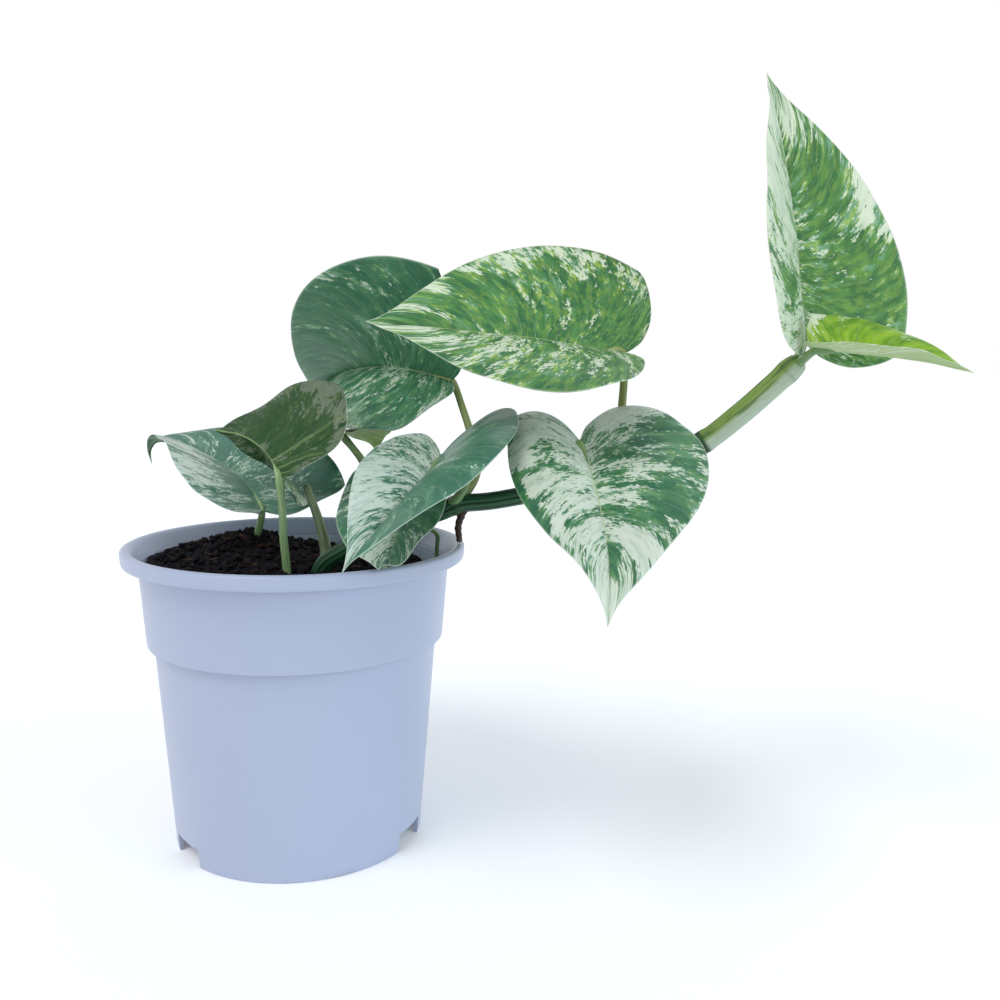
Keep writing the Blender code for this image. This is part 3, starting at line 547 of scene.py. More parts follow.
def blade_material(name, look, seed, settings, under):
    """A variegated blade: glossy above, paler and matt below."""
    side = "back" if under else "face"
    material, tree, shader = start_material(f"{name} {side}", Coat_Weight=0.0 if under else 0.12,
                                            Coat_Roughness=0.30, Specular_IOR_Level=0.12 if under else 0.35)
    whiteness, margin, place = marks_of(tree, "marks")
    veins = surface_map(tree, "veins")
    marble = place_group(tree, shared_group("Marbling", marbling_group), Veins=veins, Whiteness=whiteness,
                         Seed=seed)
    relief = place_group(tree, shared_group("Blade relief", blade_relief_group), Veins=veins, Margin=margin,
                         Place=place)
    fresh = look.get("fresh", 0.0)
    deep = blend_colours(settings.deep, settings.blue, look["cool"] * 0.7)
    deep = blend_colours(deep, (0.09, 0.24, 0.008), fresh)
    bright = blend_colours(settings.bright, settings.blue, look["cool"])
    bright = blend_colours(bright, (0.23, 0.42, 0.010), fresh)
    tone = step_between(tree, marble.outputs["Tone"], 0.36, 0.64)
    colour = mixed(tree, tone, deep, bright)
    grey = blend_colours(settings.grey, settings.blue, look["cool"] * 0.35)
    colour = tinted(tree, colour, marble.outputs["Grey"], look["grey"], grey)
    colour = tinted(tree, colour, marble.outputs["Gold"], look["gold"] * 0.75, settings.gold)
    cream = blend_colours(settings.cream, (0.53, 0.67, 0.64), look["cool"] * 0.5)
    cream = blend_colours(cream, (0.72, 0.82, 0.28), look["gold"] * 0.2)
    colour = mixed(tree, marble.outputs["White"], colour, cream)
    colour = tinted(tree, colour, relief.outputs["Side veins"], 0.05, settings.cream)
    colour = tinted(tree, colour, relief.outputs["Midrib"], 0.80, (0.46, 0.58, 0.26))
    colour = tinted(tree, colour, relief.outputs["Margin line"], 0.50, cream)
    if under:
        colour = mixed(tree, look.get("back", 0.62), colour, look.get("under", settings.under))
        rib = node(tree, "ShaderNodeAttribute", attribute_name="ribs").outputs["Fac"]
        colour = tinted(tree, colour, rib, 0.6, (0.26, 0.37, 0.14))
        colour = tinted(tree, colour, relief.outputs["Midrib"], 0.6, (0.30, 0.42, 0.18))
    rough = maths(tree, "MULTIPLY_ADD", marble.outputs["White"], 0.08, 0.55 if under else 0.36)
    plug(tree, shader, colour, rough, relief.outputs["Height"], 0.00025, 0.55)
    return material


def stem_material(name, colour, second, edge, stripes):
    """A green stalk with stripes along it, mottling, and a darker foot where its sheath dries."""
    material, tree, shader = start_material(name, Coat_Weight=0.05, Coat_Roughness=0.35)
    share, lit, _ = marks_of(tree, "marks")
    grain = place_group(tree, shared_group("Fine grain", grain_group), Place=object_place(tree), Size=260.0)
    lines = speckle(tree, surface_map(tree, "along"), 1.0, 3.0, 0.6, 3.0, (stripes, 0.7, 1.0))
    mix = mixed(tree, step_between(tree, lines, 0.38, 0.62), colour, second)
    # Painted light: the upward-facing side of the stalk is tinted a paler green.
    mix = tinted(tree, mix, step_between(tree, lit, 0.35, 0.8), 0.25, (0.40, 0.52, 0.22))
    mix = tinted(tree, mix, step_between(tree, share, 0.10, 0.0), 0.8, edge)
    mix = tinted(tree, mix, step_between(tree, grain.outputs["Wander"], 0.60, 0.72), 0.35, edge)
    plug(tree, shader, mix, maths(tree, "MULTIPLY_ADD", lines, 0.15, 0.35), lines, 0.0002, 0.6)
    return material


def vine_material(settings):
    """Dark and ridged where the vine is old; yellow-green above and pale below where it is young."""
    material, tree, shader = start_material("Vine", Coat_Weight=0.04, Coat_Roughness=0.35,
                                            Specular_IOR_Level=0.25)
    age, lit, ring = marks_of(tree, "marks")
    along = surface_map(tree, "along")
    lines = speckle(tree, along, 1.0, 3.0, 0.62, 1.0, (17.0, 0.45, 1.0))
    fine = speckle(tree, along, 1.0, 3.0, 0.62, 5.0, (46.0, 0.9, 1.0))
    old = mixed(tree, step_between(tree, lines, 0.36, 0.60), settings.old, (0.020, 0.090, 0.036))
    old = tinted(tree, old, step_between(tree, fine, 0.58, 0.70), 0.35, (0.10, 0.18, 0.09))
    young = mixed(tree, step_between(tree, lit, 0.40, 0.62), settings.pale, settings.young)
    stripe = times(tree, step_between(tree, lines, 0.52, 0.57), step_between(tree, lit, 0.30, 0.60))
    young = tinted(tree, young, stripe, 0.8, (0.060, 0.13, 0.035))
    young = tinted(tree, young, step_between(tree, fine, 0.55, 0.66), 0.3, (0.50, 0.58, 0.32))
    colour = mixed(tree, step_between(tree, age, 0.36, 0.64), old, young)
    scar = times(tree, step_between(tree, ring, 0.55, 0.95), maths(tree, "MULTIPLY_ADD", age, -0.5, 0.70))
    colour = mixed(tree, scar, colour, (0.035, 0.075, 0.022))
    plug(tree, shader, colour, maths(tree, "MULTIPLY_ADD", fine, 0.2, 0.34), lines, 0.0003, 0.7)
    return material


def husk_material(name, colour, tip):
    """Dry brown skin with wrinkles round it and a paler tip."""
    material, tree, shader = start_material(name)
    share, _, _ = marks_of(tree, "marks")
    along = surface_map(tree, "along")
    wrinkles = speckle(tree, along, 1.0, 4.0, 0.65, 2.0, (6.0, 9.0, 1.0))
    mix = mixed(tree, step_between(tree, wrinkles, 0.35, 0.65), tuple(c * 0.45 for c in colour), colour)
    mix = tinted(tree, mix, step_between(tree, share, 0.86, 1.0), 0.6, tip)
    plug(tree, shader, mix, maths(tree, "MULTIPLY_ADD", wrinkles, 0.2, 0.62), wrinkles, 0.0004, 0.9)
    return material


def soil_material(name, colour, light, size):
    """Damp crumbly compost, with paler fibres and a little moisture in its hollows."""
    material, tree, shader = start_material(name, Specular_IOR_Level=0.12)
    place = object_place(tree)
    grain = place_group(tree, shared_group("Fine grain", grain_group), Place=place, Size=size)
    spots = speckle(tree, place, 900.0, 3.0, 0.7)
    mix = mixed(tree, step_between(tree, grain.outputs["Wander"], 0.38, 0.66), colour, light)
    mix = tinted(tree, mix, step_between(tree, spots, 0.66, 0.72), 0.55, (0.045, 0.030, 0.026))
    plug(tree, shader, mix, maths(tree, "MULTIPLY_ADD", grain.outputs["Pits"], 0.3, 0.60), spots, 0.0006, 1.0)
    return material


def plastic_material(settings):
    """White moulded plastic with faint flow marks and grime, a lit wall over the soil and painted shade in
    the creases under the lip and at the collar.
    """
    material, tree, shader = start_material("Pot plastic", Coat_Weight=0.10, Coat_Roughness=0.25,
                                            Specular_IOR_Level=0.45)
    place = object_place(tree)
    grain = place_group(tree, shared_group("Fine grain", grain_group), Place=place, Size=55.0)
    height = node(tree, "ShaderNodeSeparateXYZ", {0: place}).outputs["Z"]
    flow = speckle(tree, place, 14.0, 2.0, 0.5, 4.0, (1.0, 1.0, 0.25))
    colour = mixed(tree, step_between(tree, flow, 0.35, 0.65), settings.plastic,
                   tuple(min(1.0, c * 1.05) for c in settings.plastic))
    smear = speckle(tree, place, 70.0, 4.0, 0.7, 2.0, (1.0, 1.0, 0.6))
    foot = step_between(tree, height, 0.003, 0.0)
    dust = times(tree, step_between(tree, smear, 0.55, 0.70), times(tree, foot, 0.25))
    colour = mixed(tree, dust, colour, settings.grime)
    reach = node(tree, "ShaderNodeVectorMath", {0: place, 1: (1.0, 1.0, 0.0)}, operation="MULTIPLY")
    reach = node(tree, "ShaderNodeVectorMath", {0: reach.outputs[0]}, operation="LENGTH").outputs["Value"]
    _, collar_foot, body_top = collar_radii()
    step, lean = POT_HEIGHT - COLLAR_HEIGHT, COLLAR_TAPER / (COLLAR_HEIGHT - LIP_HEIGHT)
    upright = maths(tree, "MULTIPLY_ADD", height, -lean, reach)
    inside = maths(tree, "LESS_THAN", upright, collar_foot - WALL / 2 - lean * step)
    glow = times(tree, inside, step_between(tree, height, POT_HEIGHT - LIP_INSIDE, POT_HEIGHT - 0.0070))
    glow = times(tree, glow, maths(tree, "GREATER_THAN", height, POT_HEIGHT - 2 * SOIL_DROP))
    colour = tinted(tree, colour, glow, 0.75, settings.lit)
    brim = POT_HEIGHT - SOIL_DROP
    line = step_between(tree, height, brim + 0.0060, brim)
    line = times(tree, line, maths(tree, "GREATER_THAN", height, brim - 0.004))
    tide = times(tree, times(tree, inside, line), step_between(tree, smear, 0.47, 0.62))
    colour = tinted(tree, colour, tide, 0.28, settings.grime)
    outside = maths(tree, "GREATER_THAN", reach, body_top - WALL / 2)
    # Painted shade: thin dark bands on the outside at the collar's step and just under the lip, where shadow
    # lines fall.
    for level, depth in ((step - 0.0001, 0.0006), (POT_HEIGHT - LIP_HEIGHT - 0.0006, 0.0007)):
        away = maths(tree, "ABSOLUTE", maths(tree, "SUBTRACT", height, level))
        crease_shade = times(tree, step_between(tree, away, depth, 0.0), times(tree, outside, 0.42))
        colour = mixed(tree, crease_shade, colour, settings.crease_shade)
    rough = maths(tree, "MULTIPLY_ADD", grain.outputs["Wander"], 0.10, 0.33)
    plug(tree, shader, colour, rough, grain.outputs["Pits"], 0.00006, 0.35)
    return material


# ---------------------------------------------------------------- the pot
def collar_radii():
    """The outside radii at the collar's top, at its foot and at the body's top under the step."""
    top = RIM_RADIUS - LIP_OVERHANG
    foot = top - COLLAR_TAPER
    return top, foot, foot - STEP_IN


def pad_radius():
    return FOOT_RADIUS - WALL - CHANNEL_WIDTH


def inner_wall():
    """Radius, height and rounding up the pot's inside wall, from the floor to the lip."""
    collar_top, collar_foot, body_top = collar_radii()
    step = POT_HEIGHT - COLLAR_HEIGHT
    floor = FLOOR_LIFT + WALL
    slope = (body_top - FOOT_RADIUS) / step
    return [(FOOT_RADIUS + slope * floor - WALL, floor, 0.0015),
            (body_top - WALL, step - 0.0006, EDGE_ROUNDING),
            (collar_foot - WALL - 0.0002, step + 0.0014, EDGE_ROUNDING),
            (collar_top - WALL, POT_HEIGHT - LIP_HEIGHT - 0.0010, 0.0012),
            (collar_top + 0.0004, POT_HEIGHT - LIP_INSIDE, 0.0014)]


def pot_profile():
    """Radius, height and rounding of every corner, from the axis inside, over the rim and back below."""
    collar_top, collar_foot, body_top = collar_radii()
    step = POT_HEIGHT - COLLAR_HEIGHT
    lip_foot = POT_HEIGHT - LIP_HEIGHT
    pad = pad_radius() - CHANNEL_SLOPE
    floor = [(0.0, WALL, 0), (pad, WALL, 0.0010), (pad_radius(), FLOOR_LIFT + WALL, 0.0010)]
    lip = [(RIM_RADIUS - 2 * LIP_ROUNDING, POT_HEIGHT, LIP_ROUNDING), (RIM_RADIUS, POT_HEIGHT, LIP_ROUNDING),
           (RIM_RADIUS - 0.0004, lip_foot + 0.0002, 0.0010), (collar_top + 0.0001, lip_foot - 0.0004, 0.0008)]
    outside = [(collar_foot, step, EDGE_ROUNDING), (body_top, step - 0.0003, 0.0003),
               (FOOT_RADIUS, 0.0, EDGE_ROUNDING)]
    below = [(FOOT_RADIUS - WALL, 0.0, 0.0003), (FOOT_RADIUS - WALL, FLOOR_LIFT, 0.0008),
             (pad_radius() + WALL / 2, FLOOR_LIFT, 0.0010), (pad + WALL / 2, 0.0, 0.0008), (0.0, 0.0, 0)]
    return floor + inner_wall() + lip + outside + below


def rounded(corners):
    """A line through corners, each softened by its own rounding."""
    places = [Vector((r, z)) for r, z, _ in corners]
    result = []
    for i, (place, (_, _, rounding)) in enumerate(zip(places, corners)):
        if not rounding:
            result.append(place)
            continue
        back, ahead = places[i - 1] - place, places[i + 1] - place
        start = place + back.normalized() * min(rounding, back.length * 0.48)
        end = place + ahead.normalized() * min(rounding, ahead.length * 0.48)
        for k in range(ROUNDING_STEPS + 1):
            t = k / ROUNDING_STEPS
            result.append(start * (1 - t) ** 2 + place * 2 * t * (1 - t) + end * t ** 2)
    return result


def turned(profile, steps):
    """A closed solid turned about Z from radius and height."""
    bm = bmesh.new()
    verts = [bm.verts.new((p[0], 0.0, p[1])) for p in profile]
    edges = [bm.edges.new(pair) for pair in zip(verts[:-1], verts[1:])]
    bmesh.ops.spin(bm, geom=verts + edges, cent=(0, 0, 0), axis=(0, 0, 1), angle=math.tau, steps=steps,
                   use_merge=True)
    bmesh.ops.remove_doubles(bm, verts=bm.verts, dist=1e-6)
    bmesh.ops.recalc_face_normals(bm, faces=bm.faces)
    return bm


def foot_cutters():
    """One bmesh that holds the three notches in the foot and the drain holes in the floor."""
    bm = bmesh.new()
    for degrees in NOTCHES:
        turn = Matrix.Rotation(math.radians(degrees), 4, "Z")
        place = turn @ Matrix.Translation((FOOT_RADIUS - WALL / 2, 0, 0))
        size = Matrix.Diagonal((WALL * 6, NOTCH_WIDTH, NOTCH_HEIGHT * 2, 1))
        bmesh.ops.create_cube(bm, size=1.0, matrix=place @ size)
    radius = (pad_radius() + FOOT_RADIUS - WALL) / 2
    for index in range(DRAIN_HOLES):
        turn = math.radians(360 / DRAIN_HOLES * (index + 0.5))
        place = Matrix.Translation((radius * math.cos(turn), radius * math.sin(turn), FLOOR_LIFT + WALL / 2))
        spun = Matrix.Rotation(turn + 0.05, 4, "Z")
        bmesh.ops.create_cone(bm, cap_ends=True, segments=32, radius1=DRAIN_RADIUS, radius2=DRAIN_RADIUS,
                              depth=WALL * 4, matrix=place @ spun)
    return bm


def build_pot(settings):
    """Turns the pot from its profile, then cuts its foot and floor."""
    pot = finish_piece("pot_shell", turned(rounded(pot_profile()), settings.facets), [], "pot_plastic", "pot")
    mesh = bpy.data.meshes.new("foot_cutters")
    cutters = foot_cutters()
    cutters.to_mesh(mesh)
    cutters.free()
    tool = bpy.data.objects.new("foot_cutters", mesh)
    bpy.context.scene.collection.objects.link(tool)
    boolean = pot.modifiers.new("foot", "BOOLEAN")
    boolean.object = tool
    boolean.solver = "EXACT"
    evaluated = pot.evaluated_get(bpy.context.evaluated_depsgraph_get())
    cut_mesh = bpy.data.meshes.new_from_object(evaluated)
    pot.modifiers.clear()
    pot.data = cut_mesh
    pot.data.materials.clear()
    pot.data.materials.append(plastic_material(settings))
    pot.data.shade_smooth()
    pot.data.set_sharp_from_angle(angle=math.radians(42))
    bpy.data.objects.remove(tool, do_unlink=True)


# ---------------------------------------------------------------- the soil
def soil_level(x, y):
    """Height of the soil without its crumbs: a gentle tilt and a heap by the crown."""
    heap = MOUND_HEIGHT * math.exp(-((x - MOUND[0]) ** 2 + (y - MOUND[1]) ** 2) / (2 * MOUND_SPREAD ** 2))
    return POT_HEIGHT - SOIL_DROP - SOIL_TILT * x + heap


def soil_height(x, y, rough):
    """Height of the crumbly surface."""
    clods = noise.turbulence(Vector((x, y, 0.3)) * 210, 3, False, noise_basis="BLENDER")
    crumbs = noise.noise(Vector((x, y, 0.7)) * 620)
    dips = noise.noise(Vector((x, y, 1.9)) * 90)
    return soil_level(x, y) + rough * (0.75 * clods - 0.55 + 0.30 * crumbs + 0.45 * dips)


def collar_inside(height):
    """The pot's inside radius at a height in its collar."""
    low, high = inner_wall()[2][:2], inner_wall()[3][:2]
    return float(np.interp(height, (low[1], high[1]), (low[0], high[0])))


def build_soil(settings):
    """Turns a solid that fills the pot, then raises its top into clods."""
    brim = POT_HEIGHT - SOIL_DROP
    reach = collar_inside(brim) - GAP
    top = [(reach * k / SOIL_RINGS, brim) for k in range(SOIL_RINGS + 1)]
    wall = [(r - GAP, z) for r, z, _ in reversed(inner_wall()) if z < brim - 0.008]
    pad = pad_radius() - CHANNEL_SLOPE
    base = [(pad_radius() - GAP, FLOOR_LIFT + WALL + GAP), (pad - GAP, WALL + GAP), (0.0, WALL + GAP)]
    bm = turned([Vector(p) for p in top + wall + base], SOIL_STEPS)
    for vert in bm.verts:
        if vert.co.z > brim - 0.0001:
            height = soil_height(vert.co.x, vert.co.y, settings.roughness)
            away = math.hypot(vert.co.x, vert.co.y)
            if away > reach * SOIL_BRINK:
                vert.co.xy = vert.co.xy * ((collar_inside(height) - GAP) / away) * (away / reach)
            vert.co.z = height
    compost = soil_material("Compost", settings.peat, (0.011, 0.009, 0.011), 420.0)
    finish_piece("soil_bed", bm, [compost], "soil", "soil")


def scatter(count, seed, size, make):
    """Lumps strewn over the soil, thicker near the heap, each made by make(bm, matrix, draw)."""
    draw = random.Random(seed)
    bm = bmesh.new()
    limit = collar_inside(POT_HEIGHT - SOIL_DROP) - LITTER_EDGE
    for _ in range(count):
        if draw.random() < HEAP_SHARE:
            x, y = (draw.gauss(middle, MOUND_SPREAD) for middle in MOUND)
        else:
            turn, away = draw.uniform(0, math.tau), limit * math.sqrt(draw.random())
            x, y = away * math.cos(turn), away * math.sin(turn)
        big = min(size * draw.lognormvariate(0, 0.50), size * 2.0)
        tilt = [draw.uniform(0, math.tau) for _ in range(3)]
        if math.hypot(x, y) > limit - big:
            continue
        place = Matrix.Translation((x, y, soil_level(x, y) - LITTER_SINK * big))
        spin = Matrix.Identity(4)
        for angle, axis in zip(tilt, "XYZ"):
            spin = spin @ Matrix.Rotation(angle, 4, axis)
        make(bm, place, spin, big, draw)
    return bm


def add_crumb(bm, place, spin, size, draw):
    """A rough lump of compost."""
    fine = 2 if size > 0.0011 else 1
    shape = Matrix.Diagonal((size, size * draw.uniform(0.6, 1.0), size * draw.uniform(0.5, 0.9), 1))
    made = bmesh.ops.create_icosphere(bm, subdivisions=fine, radius=0.8, matrix=place @ spin @ shape)
    middle = place.translation
    for vert in made["verts"]:
        vert.co = middle + (vert.co - middle) * (1 + draw.uniform(-0.22, 0.22))


def add_chip(bm, place, _spin, size, draw):
    """A splinter of bark, which lies flat and so leaves its spin unused."""
    flat = Matrix.Rotation(draw.uniform(0, math.tau), 4, "Z") @ Matrix.Rotation(draw.gauss(0, 0.35), 4, "X")
    shape = Matrix.Diagonal((size * draw.uniform(1.4, 3.2), size, size * 0.35, 1))
    made = bmesh.ops.create_cube(bm, size=1.0, matrix=place @ flat @ shape)
    for vert in made["verts"]:
        vert.co += Vector(draw.uniform(-0.12, 0.12) * size for _ in range(3))
    edges = list({edge for vert in made["verts"] for edge in vert.link_edges})
    bmesh.ops.bevel(bm, geom=edges, offset=size * 0.08, offset_type="OFFSET", affect="EDGES", segments=1,
                    profile=0.5, material=-1)


def build_litter(settings):
    crumbs = scatter(settings.crumbs, 11, CRUMB_SIZE, add_crumb)
    peat = soil_material("Crumbs", settings.peat, (0.017, 0.012, 0.013), 300.0)
    finish_piece("soil_crumbs", crumbs, [peat], "soil")
    chips = scatter(settings.chips, 23, CHIP_SIZE, add_chip)
    bark = soil_material("Bark", (0.016, 0.009, 0.007), settings.bark, 380.0)
    finish_piece("bark_chips", chips, [bark], "soil")


# ---------------------------------------------------------------- stems
def stem_frames(route, facing):
    """Tangent, facing side and the side at right angles, along a route."""
    frames = []
    side = Vector(facing)
    for i in range(len(route)):
        tangent = (route[min(i + 1, len(route) - 1)] - route[max(i - 1, 0)]).normalized()
        side = (side - tangent * side.dot(tangent)).normalized()
        frames.append((tangent, side, tangent.cross(side)))
    return frames


def build_stem(name, points, radius_at, facing, sides, material, slot, cad_node, marks_at=None, step=0.0009):
    """A closed stem with round ends.

    radius_at takes the share along the stem and the angle from its facing side.
    """
    route = smooth_curve(points, step)
    frames = stem_frames(route, facing)
    count = len(route) - 1
    caps = (0.0, 0.55, 0.85)
    rings = [(0, c) for c in caps] + [(i, 1.0) for i in range(count + 1)]
    rings += [(count, c) for c in reversed(caps)]
    length = sum((b - a).length for a, b in zip(route[:-1], route[1:]))
    bm = bmesh.new()
    bmesh.ops.create_grid(bm, x_segments=sides, y_segments=len(rings) - 1, size=0.5)
    along = bm.loops.layers.uv.new("along")
    marks = bm.verts.layers.float_color.new("marks")
    table = []
    for vert in bm.verts:
        ring = round((vert.co.y + 0.5) * (len(rings) - 1))
        angle = vert.co.x * math.tau
        i, full = rings[ring]
        share = i / count
        tangent, side, other = frames[i]
        out = side * math.cos(angle) + other * math.sin(angle)
        radius = radius_at(share, angle)
        bulge = math.sqrt(max(0.0, 1 - full * full)) * radius_at(share, 0.0) * (-1 if ring < len(caps) else 1)
        table.append((vert.co.x + 0.5, share * length / CENTIMETRE))
        vert.co = route[i] + out * radius * full + tangent * bulge
        more = marks_at(share) if marks_at else (share, 0.0)
        vert[marks] = (more[0], out.z * 0.5 + 0.5, more[1], 1.0)
    bm.verts.index_update()
    for face in bm.faces:
        for loop in face.loops:
            loop[along].uv = table[loop.vert.index]
    bmesh.ops.remove_doubles(bm, verts=bm.verts, dist=1e-7)
    finish_piece(name, bm, [material], slot, cad_node)


def vine_route():
    return [above_rim(p) for p in VINE]


def vine_at(share):
    """The vine's centre and direction at a share of its length."""
    route = smooth_curve(vine_route(), VINE_STEP)
    position = share * (len(route) - 1)
    i = min(int(position), len(route) - 2)
    return route[i].lerp(route[i + 1], position - i), (route[i + 1] - route[i]).normalized()


def vine_share_over(x):
    """How far along the vine its centre passes over a place on X, 0 to 1."""
    route = smooth_curve(vine_route(), VINE_STEP)
    return float(np.interp(x, [p.x for p in route], np.linspace(0, 1, len(route))))


def node_swell(share, spread):
    """How close a place on the vine is to one of its nodes, 0 to 1."""
    return max(math.exp(-((share - at) / spread) ** 2) for at in STEM_NODES)


def vine_radius(share, angle):
    young = min(1.0, max(0.0, (share - SHOOT_STARTS + SHOOT_BLEND) / (2 * SHOOT_BLEND)))
    radius = VINE_RADIUS + (SHOOT_RADIUS - VINE_RADIUS) * young
    ridges = (0.045 - 0.025 * young) * math.sin(9 * angle + 5 * share) + 0.018 * math.sin(17 * angle)
    rings = (1 - 0.6 * young) * (0.17 * node_swell(share, 0.011) - 0.06 * node_swell(share - 0.014, 0.005))
    return radius * (1 + ridges + rings)


def build_vine(settings):
    def marks(share):
        return min(1.0, max(0.0, (share - PALE_NODE) / SHOOT_BLEND + 0.5)), node_swell(share, 0.007)

    build_stem("vine", vine_route(), vine_radius, (0, 0, 1), settings.sides + RIDGE_SIDES,
               vine_material(settings), "stem", "main_vine", marks)


def petiole_radius(share, angle):
    """A stalk with a groove on its upper side, a sheath at its foot and a swelling under the blade."""
    base = PETIOLE_RADIUS + (PETIOLE_TOP - PETIOLE_RADIUS) * share ** 1.5
    sheath = 0.30 * math.exp(-(share / 0.16) ** 2)
    knee = 0.22 * math.exp(-((share - 0.80) / 0.06) ** 2)
    ending = 1 - 0.75 * max(0.0, (share - 0.86) / 0.14) ** 1.3
    groove = 1 - (0.20 + 0.12 * sheath) * math.exp(-(angle / 0.42) ** 2)
    return base * (1 + sheath + knee) * groove * ending * (1 + 0.02 * math.sin(5 * angle))


def keel_points(leaf):
    """Places under the midrib that a petiole runs on into."""
    _, _, face = leaf_axes(leaf)
    length = leaf["length"]
    stations = np.array([0.0, 0.07, 0.15]) * length
    on_blade = leaf_surface(leaf, np.zeros(3), stations)
    depths = (PETIOLE_TOP * 0.75, PETIOLE_TOP * 0.55, PETIOLE_TOP * 0.15)
    return [Vector(p) - face * depth for p, depth in zip(on_blade, depths)]


def petiole_points(name):
    """A petiole's way from its foot to the keel of its blade."""
    if name in SOIL_PETIOLES:
        start = [above_rim(p) for p in SOIL_PETIOLES[name]]
    elif name in VINE_PETIOLES:
        share, bends = VINE_PETIOLES[name]
        centre, _ = vine_at(share)
        start = [centre] + [above_rim(p) for p in bends]
    else:
        tip, direction = vine_at(1.0)
        side = 1 if name == "leaf_7" else -1
        beside = Vector((0, side * PETIOLE_RADIUS, 0))
        start = [tip - direction * 0.001, tip + direction * PETIOLE_RADIUS + beside]
    return start + keel_points(LEAVES[name])


def build_petioles(settings):
    for index, name in enumerate(LEAVES):
        _, _, face = leaf_axes(LEAVES[name])
        green = (0.140, 0.150, 0.022) if name in ("leaf_3", "leaf_4") else settings.petiole
        pale = blend_colours(green, (0.24, 0.34, 0.10), 0.5)
        if name in ("leaf_1", "leaf_2"):
            pale = (0.23, 0.36, 0.16)
        number = name.split("_")[1]
        material = stem_material(f"Petiole {number}", green, pale, settings.husk, 8.0 + index)
        build_stem(f"leaf_stalk_{number}", petiole_points(name), petiole_radius, face, settings.sides,
                   material, "stem", f"petiole_{number}")


def build_small_stems(settings):
    def stub_radius(share, angle):
        slit = 1 - 0.45 * max(0.0, share - 0.35) * math.exp(-(angle / 0.35) ** 2)
        taper = STUB_RADII[0] + (STUB_RADII[1] - STUB_RADII[0]) * share
        return taper * slit * (1 + 0.03 * math.sin(6 * angle))

    def root_radius(share, angle):
        collar = 0.45 * math.exp(-(share / 0.20) ** 2)
        folds = 0.09 * math.sin(38 * share + 1.5 * math.sin(2 * angle))
        folds += 0.05 * math.sin(4 * angle + 20 * share)
        return ROOT_RADIUS * (1 + collar + folds) * (1 - 0.25 * share)

    def feeder_radius(share, angle):
        return FEEDER_RADIUS * (1.15 - 0.3 * share + 0.05 * math.sin(11 * share + angle))

    stub = stem_material("Cut petiole", (0.070, 0.120, 0.045), (0.22, 0.30, 0.17), (0.060, 0.070, 0.030), 7.0)
    build_stem("stub", [above_rim(p) for p in STUB], stub_radius, (0, -1, 0), settings.sides, stub, "stem",
               "cut_petiole_stub")
    foot = Vector((RIM_RADIUS - LIP_OVERHANG / 2 + ROOT_FOOT, 0.0, POT_HEIGHT + GAP))
    centre, _ = vine_at(vine_share_over(RIM_RADIUS + SHEATH_REACH))
    bend = foot + Vector((ROOT_BEND, 0.0, ROOT_BEND_SHARE * (centre.z - foot.z)))
    husk = husk_material("Aerial root", settings.husk, (0.10, 0.070, 0.050))
    landing = foot + Vector((0, 0, ROOT_RADIUS * 0.8))
    build_stem("holding_root", [centre, bend, landing], root_radius, (0, -1, 0), settings.sides, husk, "root",
               "aerial_root", step=0.0004)
    feeder = stem_material("Feeder root", (0.10, 0.20, 0.065), (0.20, 0.31, 0.13), (0.07, 0.11, 0.03), 4.0)
    centre, _ = vine_at(vine_share_over(RIM_RADIUS + FEEDER_REACH))
    bends = [above_rim((RIM_RADIUS + x, y, z)) for x, y, z in FEEDER]
    build_stem("feeding_root", [centre] + bends, feeder_radius, (0, -1, 0), FEEDER_SIDES, feeder, "stem",
               "feeder_root")


# ---------------------------------------------------------------- leaves
def outline_point(u):
    """A point of the blade's half outline, with u from 0 at the petiole to 1 at the tip."""
    knots = np.array(OUTLINE)
    chords = np.sqrt(np.linalg.norm(np.diff(knots, axis=0), axis=1))
    times = np.concatenate([[0], np.cumsum(chords)])
    times /= times[-1]
    slopes = np.gradient(knots, axis=0)
    slopes[1:-1] = (knots[2:] - knots[:-2]) / (times[2:] - times[:-2])[:, None]
    slopes[0] = (knots[1] - knots[0]) / (times[1] - times[0])
    slopes[-1] = (knots[-1] - knots[-2]) / (times[-1] - times[-2])
    i = min(int(np.searchsorted(times, u, side="right")) - 1, len(knots) - 2)
    span = times[i + 1] - times[i]
    s = (u - times[i]) / span
    return ((2 * s ** 3 - 3 * s ** 2 + 1) * knots[i] + (s ** 3 - 2 * s ** 2 + s) * span * slopes[i]
            + (3 * s ** 2 - 2 * s ** 3) * knots[i + 1] + (s ** 3 - s ** 2) * span * slopes[i + 1])


def leaf_axes(leaf):
    """The world directions of a leaf's width, midrib and upper face, at its base."""
    heading, rise, roll = (math.radians(leaf[k]) for k in ("heading", "rise", "roll"))
    along = Vector((math.cos(rise) * math.cos(heading), math.cos(rise) * math.sin(heading), math.sin(rise)))
    level = Vector((-math.sin(rise) * math.cos(heading), -math.sin(rise) * math.sin(heading), math.cos(rise)))
    face = math.cos(roll) * level + math.sin(roll) * along.cross(level)
    return along.cross(face), along, face


